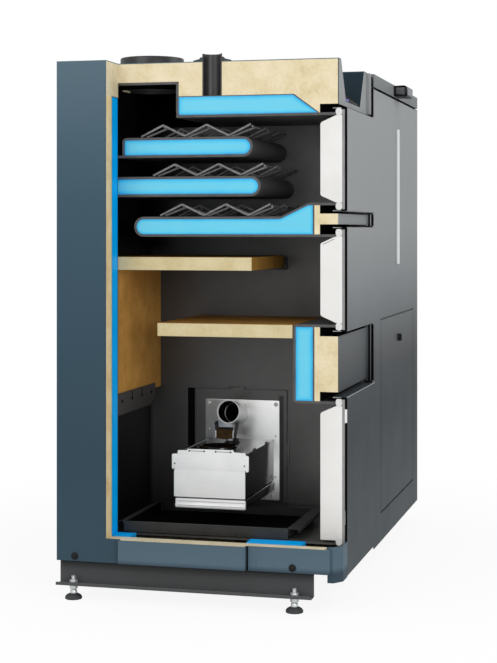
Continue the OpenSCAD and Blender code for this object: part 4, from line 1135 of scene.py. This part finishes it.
class BOILER_OT_fire_space(bpy.types.Operator):
    """Makes the bracket, hook and ash tray, the flue's cut edge and painted shade in the door
    pockets
    """

    bl_idname = "boiler.fire_space"
    bl_label = "Fire space"

    def execute(self, context):
        self.bracket()
        self.hook()
        self.tray()
        self.flue_edge()
        self.pockets()
        return {"FINISHED"}

    def bracket(self):
        """Upright plate and ledge that carry the rear ceramic, with four holes and two slots."""
        low, high = span("ceramic_bracket")
        pitch = 76.0
        seat, end = span("rear_ceramic")[0][2], high[1] - 56
        face = high[0] - 3
        plate_shape = rounded([(low[1], seat - 39), (end - 44, seat - 39), (end, seat - 18),
                               (end, high[2]), (low[1], high[2])], [0.5, 3, 3, 1, 0.5], 3)
        ledge = block((low[0] + 0.5, low[1] + 0.5, seat - 3.2), (face + 0.5, end - 1, seat - 0.2),
                      0.4)
        piece("bracket_plate", [slab(plate_shape, face, high[0] - 0.3, "x", 0.4, 2), ledge],
              "bracket", "boiler", ("ceramic_bracket",))
        # Holes and slots drawn as dark patches: painted shade.
        places, x = low[1] + 34 + pitch * np.arange(4), high[0]
        parts = [bar((y - 6, seat - 10), (y + 6, seat - 3), x - 0.5, x - 0.05, "x", 3.0, 5,
                     0.05, 1) for y in places]
        parts += [bar((y - 2.5, seat - 5), (y + 2.5, high[2] - 0.5), x - 0.5, x - 0.1, "x", 0.5, 2,
                      0.05, 1) for y in places[1:3]]
        piece("bracket_hole_shade", parts, "soot", "boiler")

    def hook(self):
        """Angles on the far wall that hold the ends of the two baffles."""
        low, high = span("upper_baffle")
        wall = span("lower_baffle")[1][1]
        x, z = high[0] + 1.5, low[2]
        upright = rounded([(x, z - 7), (x + 5, z - 4), (x + 5, z + 26), (x, z + 22)],
                          [1, 1.5, 1.5, 1], 3)
        near, far = wall - 24, wall - 0.5
        parts = [slab(upright, near, far, "y", 0.5, 2),
                 bar((x - 60, z - 6), (x + 4, z - 1), near, far, "y", 1.2, 2, 0.4, 1)]
        piece("baffle_hook", parts, "black", "boiler")

    def tray(self):
        """Ash tray of thin folded sheet with rolled rims, a rear lip and a front grip."""
        low, high = span("ash_tray")
        base, top = low[2], high[2]
        x0, x1, y0, y1 = low[0] + 13, high[0] - 27, low[1], high[1]
        t, rim, skin = 1.5, 1.8, 1.5 + 0.3
        walls = [folded(bent([(x0, top), (x0, base), (x1, base), (x1, top)], 3.0, 4), t,
                        y0 + 2, y1 - 2, "y")]
        walls += [bar((x0, base), (x1, top - 1), y, y + t, "y", 2.0, 3, 0.4, 1)
                  for y in (y0 + 0.6, y1 - t - 0.6)]
        rims = [rod([(x0, y, top - rim), (x1, y, top - rim)], rim, reference=UPRIGHT)
                for y in (y0 + rim, y1 - rim)]
        lips = [
            folded(bent([(x0 + 0.2, top - 8), (x0 + 0.2, top), (low[0] + 0.5, top),
                         (low[0] + 0.5, top - 5)], 1.6, 3), 1.2, y0, y1, "y"),
            folded(bent([(high[0], top - 9), (high[0], top), (x1 - 0.2, top),
                         (x1 - 0.2, top - 8)], 1.6, 3), 1.2, y0, y1, "y")]
        piece("ash_tray_sheet", walls + rims + lips, "black", "boiler",
              ("ash_tray",))
        # A near-black lining inside the tray and on its near wall.
        ash = folded(bent([(x0 + skin, top - 5), (x0 + skin, base + skin),
                           (x1 - skin, base + skin), (x1 - skin, top - 5)], 2.0, 3),
                     0.4, y0 + 3, y1 - 3, "y")
        near = bar((x0 + 2, base + 2), (x1 - 2, top - 8), y0 + 2.2, y0 + 2.8, "y", 1.0, 2, 0.2, 1)
        piece("ash_tray_dark_lining", [ash, near], "soot", "boiler")
        # A lighter rod along the left rim: a painted highlight.
        side = rod([(x0 + 0.4, y0 + 1, top - 0.2), (x0 + 0.4, y1 - 1, top - 0.2)], 1.0,
                   reference=UPRIGHT)
        piece("ash_tray_rim_highlight", side, "rod", "boiler")

    def flue_edge(self):
        """Cut edge of the flue box: bent from its roof down its front to the crown plate."""
        low, high = span("flue_box")
        cut, floor = span("left_side_panel")[1][0] - PANEL_RETURN, span("crown_plate")[0][2]
        x, top = high[0] - WALL, high[2] - WALL
        line = bent([(cut, top), (x, top), (x, floor), (x + 60, floor)],
                    np.array([[1.0], [12.0]]), 8)
        piece("flue_cut_edge_shade", folded(line, WALL, low[1] - 0.5, low[1] + 0.5, "y"), "vessel",
              "boiler")

    def pockets(self):
        """Painted shade: dark sheet in the pockets above and below each door seal, and beside the
        bands.
        """
        low, high = span("front_insulation")
        x0, x1 = low[0] + 13.0, span("front_bands")[0][0]
        up, mid, down = (span(n + "_door_cover") for n in ("upper", "middle", "lower"))
        crown, head = span("crown_plate")[1][2], span("control_head")[0][2] + 1
        parts = []
        for flat, end in ((down[1][2] + 11, low[2]), (mid[0][2] - 11, 650.0),
                          (mid[1][2] + 6.5, 867.0), (up[0][2] - 5.5, high[2]), (head, crown)):
            line = [(x1 - 0.5, flat), (x0, flat), (x0, end)]
            parts.append(folded(line, 0.8 if end < flat else -0.8, low[1] + 0.8, high[1] - 1, "y"))
        gap = span("front_bands")[1][1]
        parts.append(block((x1 - 8, high[1] + 1, down[0][2] + 60), (x1 - 7, gap + 34, head), 0.3))
        piece("pocket_shade_sheets", parts, "soot", "boiler")


class BOILER_OT_casing(bpy.types.Operator):
    """Makes the bolts, head, hinge posts, flue collar, pipe seal and base covers of the casing"""

    bl_idname = "boiler.casing"
    bl_label = "Casing parts"

    def execute(self, context):
        low = span("left_side_panel")[0]
        front = span("base_covers")[1][0]
        bolts = [dome((x, low[1], low[2] + 12), 8.6, 6.0, "y", -1, 28) for x in (46, front - 86)]
        piece("panel_bolts", bolts, "black plastic", "boiler")
        self.collar()
        self.rosette()
        self.covers(*span("base_covers"))
        self.head(*span("control_head"))
        return {"FINISHED"}

    def head(self, low, high):
        """Face of the control head round its recess, and the display on the slope in it."""
        middle = (span("left_side_panel")[0][1] + high[1]) / 2
        z = low[2] + 12
        outline = [(low[1], low[2]), (high[1], low[2]), (high[1], high[2]),
                   (middle + 149.2, high[2]), (middle + 91.5, z), (middle - 91.5, z),
                   (middle - 149.2, high[2]), (low[1], high[2])]
        face, side = high[0], high[1]
        piece("head_face", slab(outline, face - 0.2, face + 0.4, "x", 0.1, 1), "front", "boiler")
        foot = span("right_side_panel")[0][2]
        # The returns are near black: painted shade behind the store front.
        returns = [bar((side - 34, low[2] + 1), (side - 0.5, high[2]), face, face + 0.6, "x",
                       0.2, 1, 0.1, 1),
                   bar((side - 27.5, foot), (side - 0.2, low[2] - 2), face - 0.2, face + 0.4, "x",
                       0.2, 1, 0.1, 1)]
        piece("casing_return_shade", returns, "soot", "boiler")
        self.posts(low, high)
        slope = np.array([-120.0, high[2] - z])
        slope /= np.linalg.norm(slope)
        out, start = np.array([slope[1], -slope[0]]), np.array([face, z])
        for name, finish, end, thick, y0, y1, nodes in (
                ("glass", "glass", 112, 5, -96, -28, ("display",)),
                ("frame", "black plastic", 60, 4, -27, 86, ())):
            section = [start + slope * a + out * h
                       for a, h in ((5, 0.5), (end, 0.5), (end, thick), (7, thick))]
            piece("display_" + name, slab(section, middle + y0, middle + y1, "y", 1.2, 3), finish,
                  "boiler", nodes)

    def posts(self, low, high):
        """Hinge posts: folded sheet that stands forward beside the head and between the doors."""
        edge, front = span("store_front")[0][1] - 2, high[0] + 9
        up, mid, down = (span(n + "_door_cover") for n in ("upper", "middle", "lower"))
        # Thin near-black lines beside the posts: painted shade of the gaps.
        posts, shade_lines = [], []
        for z0, z1 in ((down[1][2] + 3, mid[0][2] - 3), (mid[1][2] + 3, up[0][2] - 3)):
            posts.append(block((high[0] - 5, edge - 17, z0), (front, edge, z1), 0.6))
            shade_lines.append(block((front - 4.5, edge - 17.6, z0), (front + 0.2, edge - 16.8, z1),
                               0.1))
        piece("hinge_posts", posts, "front", "boiler")
        piece("hinge_post_shade_lines", shade_lines, "soot", "boiler")
        side = block((high[0] - 5, edge - 22, low[2] + 1), (front, edge, high[2]), 0.6)
        piece("head_post", side, "front", "boiler")

    def collar(self):
        """Flue collar: a closed section of 2.5 mm wall with a rolled rim, turned about z."""
        low, high = span("flue_collar")
        centre = ((low[0] + high[0]) / 2, (low[1] + high[1]) / 2, 0)
        r, top = (high[0] - low[0]) / 2, high[2]
        section = [(r - 1, low[2] - 6), (r - 1, top - 26), (r, top - 25), (r, top - 2.2),
                   (r - 0.7, top - 0.6), (r - 1.4, top), (r - 2.0, top - 0.5),
                   (r - 2.5, top - 2.0), (r - 2.5, low[2] - 6)]
        piece("collar_ring", turned(section, centre, "z", 96, loop=True), "black", "boiler",
              ("flue_collar",))

    def rosette(self):
        """Rubber seal round the flow pipe: a stepped section swept through half a turn."""
        low, high = span("pipe_rosette")
        pipe = span("flow_pipe")
        x, y, z, top = (low[0] + high[0]) / 2, low[1], low[2], high[2]
        r, wide = (pipe[1][0] - pipe[0][0]) / 2 + 0.1, (high[0] - low[0]) / 2
        section = np.array([(r, z), (wide, z), (wide - 0.5, z + 2.0), (wide - 5, z + 3.4),
                            (r + 8, z + 5.5), (r + 5, top - 1.2), (r + 3.6, top), (r, top)])
        turn = np.linspace(0, math.pi, 40)[:, None]
        rings = np.stack([x + section[:, 0] * np.cos(turn), y + section[:, 0] * np.sin(turn),
                          np.broadcast_to(section[:, 1], (40, len(section)))], -1)
        piece("pipe_seal", loft(rings), "rubber", "boiler", ("pipe_rosette",))

    def covers(self, low, high):
        """Base covers: a sheet that stands proud and one set back, with painted shade in the gap.
        """
        t, top, face = 2.0, high[2], low[1]
        x0, x1, seam = 158.0, 467.0, 489.4
        rear = bent([(x0, face + 14), (x0, face), (x1, face), (x1, face + 14)], 2.2, 4)
        front = bent([(x1 + 1.5, face + 17), (x1 + 1.5, face + 14), (high[0], face + 14),
                      (high[0], face + 30)], 1.6, 4)
        parts = [folded(rear, t, low[2] + 2, top, "z"), folded(front, t, low[2], top, "z"),
                 bar((seam, low[2] + 0.5), (seam + 1.4, top), face + 13.7, face + 14.6, "y",
                     0.4, 1, 0.2, 1)]
        piece("base_cover_sheets", parts, "cover", "boiler", ("base_covers",))
        # A near-black block in the gap between the covers: painted shade.
        gap = block((x1 - 3, face + 13.5, low[2] + 1), (x1 + 4, face + 16.5, top - 1), 0.3)
        piece("cover_gap_shade", gap, "soot", "boiler")


class BOILER_OT_store(bpy.types.Operator):
    """Makes the small parts of the pellet store: handle, latch, level window and painted shade in
    the lid's gap
    """

    bl_idname = "boiler.store"
    bl_label = "Store parts"

    def execute(self, context):
        self.handle()
        self.latch()
        low, high = span("level_strip")
        window = bar((low[1], low[2]), (high[1], high[2]), low[0] - 0.2, high[0], "x", 3.0, 5,
                     1.6, 4)
        piece("level_window", window, "light plastic", "boiler",
              ("level_strip",))
        low, high = span("store_front")
        # A near-black strip in the gap under the lid: painted shade.
        seal = block((low[0] + 1, low[1] + 0.5, high[2] - 1.4),
                     (high[0] + 0.2, high[1] - 0.5, high[2] + 0.4), 0.1)
        piece("lid_gap_shade", seal, "soot", "boiler")
        return {"FINISHED"}

    def handle(self):
        """Grip of the lid: a rounded section in (x, z) carried along y, with a lighter front."""
        low, high = span("lid_handle")
        corners = [(low[0], low[2] + 3), (high[0] - 3, low[2]), (high[0] - 1.5, low[2] + 8),
                   (high[0] - 2, high[2] - 8), (high[0] - 8, high[2]), (low[0], high[2] - 1)]
        radii = np.array([0.5, 4, 6, 8, 5, 0.5])
        piece("handle_grip", slab(rounded(corners, radii, 6), low[1] + 1.5, high[1], "y", 2.5, 4),
              "black plastic", "lid", ("lid_handle",))
        # A lighter inset on the grip's end: a painted reflection.
        cap = slab(rounded(inset(corners, 5.5), np.maximum(radii - 4, 1.5), 6), low[1] + 0.4,
                   low[1] + 2.2, "y", 1.2, 3)
        piece("handle_end_reflection", cap, "grey plastic", "lid")
        front = bar((low[1] + 4, low[2] + 5), (high[1] - 1, high[2] - 5), high[0] - 3, high[0],
                    "x", 3, 4, 1.0, 3)
        piece("handle_front", front, "handle front", "lid")

    def latch(self):
        """Quarter-turn latch: a turned knob with a waisted grip across it."""
        low, high = span("panel_latch")
        y, z, r = (low[1] + high[1]) / 2, (low[2] + high[2]) / 2, (high[1] - low[1]) / 2
        knob = turned([(r, 0), (r, 2.6), (r - 0.8, 3.6), (r - 2.4, 4.2), (0.4, 4.4)],
                      (low[0], y, z), "x", 40)
        grip = slab(rounded([(y - 3.4, z - r + 1), (y + 3.4, z - r + 1), (y + 2.6, z),
                             (y + 3.4, z + r - 1), (y - 3.4, z + r - 1), (y - 2.6, z)],
                            [2.6, 2.6, 6, 2.6, 2.6, 6], 5), low[0] + 3.4, high[0], "x", 1.4, 3)
        piece("latch_knob", [knob, grip], "black plastic", "latch",
              ("panel_latch",))


class BOILER_OT_base(bpy.types.Operator):
    """Makes the rails of folded sheet and the threaded feet"""

    bl_idname = "boiler.base"
    bl_label = "Rails and feet"

    def execute(self, context):
        self.rails(*span("base_rails"))
        self.feet(*span("levelling_feet"), context.scene.boiler_sizes.thread)
        return {"FINISHED"}

    def rails(self, low, high):
        """Rails: a line in (y, z) with bends of 5 mm, a low lip at the flange's edge."""
        parts = []
        for edge, sign in ((low[1], 1), (high[1], -1)):
            web = edge + sign * 34.0
            line = bent([(web + sign * 4.0, high[2] - 0.2), (web, high[2] - 0.2), (web, low[2]),
                         (edge, low[2]), (edge, low[2] + 7.0)], 2.4, 5)
            parts.append(folded(line, -2.4 * sign, low[0], high[0], "x"))
        piece("rails", parts, "rail", "boiler", ("base_rails",))
        # A lighter rod along each lip: a painted highlight.
        edges = [rod([(low[0] + 1, y, low[2] + 6.6), (high[0] - 1, y, low[2] + 6.6)], 0.9,
                     reference=UPRIGHT) for y in (low[1] + 3.2, high[1] - 3.2)]
        piece("rail_highlights", edges, "rail highlight", "boiler")

    def feet(self, low, high, pitch):
        """Feet: a rubber pad, a hex nut on each side of the flange and a threaded stud.

        The thread's radius is r - d |2 frac(z / p - a / 2 pi) - 1| at height z and angle a.
        """
        pad_r, flange = 20.4, span("base_rails")[0][2]
        zinc, rubber = [], []
        z = np.arange(8.0, high[2], pitch / 6)[:, None]
        a = np.linspace(0, 2 * math.pi, 18, endpoint=False)[None, :]
        tooth = np.abs(2 * ((z / pitch - a / (2 * math.pi)) % 1.0) - 1)
        radius = (5.3 - 0.9 * tooth) * np.clip((high[2] - z) / 1.2, 0.45, 1)
        pad = [(pad_r - 1.2, 0), (pad_r - 0.2, 1.0), (pad_r, 3.0), (pad_r - 0.6, 6.0),
               (pad_r - 3.0, 9.0), (pad_r - 7.5, 11.6), (pad_r - 12, 13.4), (8.0, 14.2)]
        for x in (low[0] + pad_r, high[0] - pad_r):
            for y in (low[1] + pad_r, high[1] - pad_r):
                stud = np.stack([x + radius * np.cos(a), y + radius * np.sin(a),
                                 np.broadcast_to(z, radius.shape)], -1)
                zinc += [loft(stud), self.nut(x, y, flange - 9, flange),
                         self.nut(x, y, flange + 4, flange + 12),
                         turned([(8.2, 13.0), (8.2, 20.0), (7.4, 21.2), (5.4, 21.6)], (x, y, 0),
                                "z", 28)]
                rubber.append(turned(pad, (x, y, 0)))
        piece("foot_studs", zinc, "zinc", "boiler", ("levelling_feet",))
        piece("foot_pads", rubber, "rubber", "boiler")

    def nut(self, x, y, z0, z1):
        """Hex nut with chamfered corners: six sides of which the rims are inset by 0.8 mm."""
        turn = np.radians(np.arange(0, 360, 60) + 12)
        sides = np.stack([x + 9.8 * np.cos(turn), y + 9.8 * np.sin(turn)], 1)
        return slab(rounded(sides, 0.8, 2), z0, z1, "z", 0.8, 2)


STEPS = (
    BOILER_OT_stage, BOILER_OT_finishes, BOILER_OT_turbulators, BOILER_OT_doors,
    BOILER_OT_burner, BOILER_OT_water, BOILER_OT_fire_space, BOILER_OT_casing, BOILER_OT_store,
    BOILER_OT_base,
)


class BOILER_PT_panel(bpy.types.Panel):
    """Lists the pieces in the order in which they are made"""

    bl_label = "Pellet boiler"
    bl_idname = "BOILER_PT_panel"
    bl_space_type = "VIEW_3D"
    bl_region_type = "UI"
    bl_category = "Boiler"

    def draw(self, context):
        for group in (context.scene.boiler_view, context.scene.boiler_sizes):
            box = self.layout.box()
            for prop in group.bl_rna.properties:
                if prop.identifier not in {"rna_type", "name"}:
                    box.prop(group, prop.identifier)
        for step in STEPS:
            self.layout.operator(step.bl_idname)


CLASSES = (BoilerView, BoilerSizes, *STEPS, BOILER_PT_panel)


def register():
    for each in CLASSES:
        bpy.utils.register_class(each)
    bpy.types.Scene.boiler_view = bpy.props.PointerProperty(type=BoilerView)
    bpy.types.Scene.boiler_sizes = bpy.props.PointerProperty(type=BoilerSizes)


def unregister():
    del bpy.types.Scene.boiler_sizes
    del bpy.types.Scene.boiler_view
    for each in reversed(CLASSES):
        bpy.utils.unregister_class(each)


def main():
    """Makes every piece in order."""
    register()
    for step in STEPS:
        group, name = step.bl_idname.split(".")
        getattr(getattr(bpy.ops, group), name)()


if __name__ == "__main__":
    main()
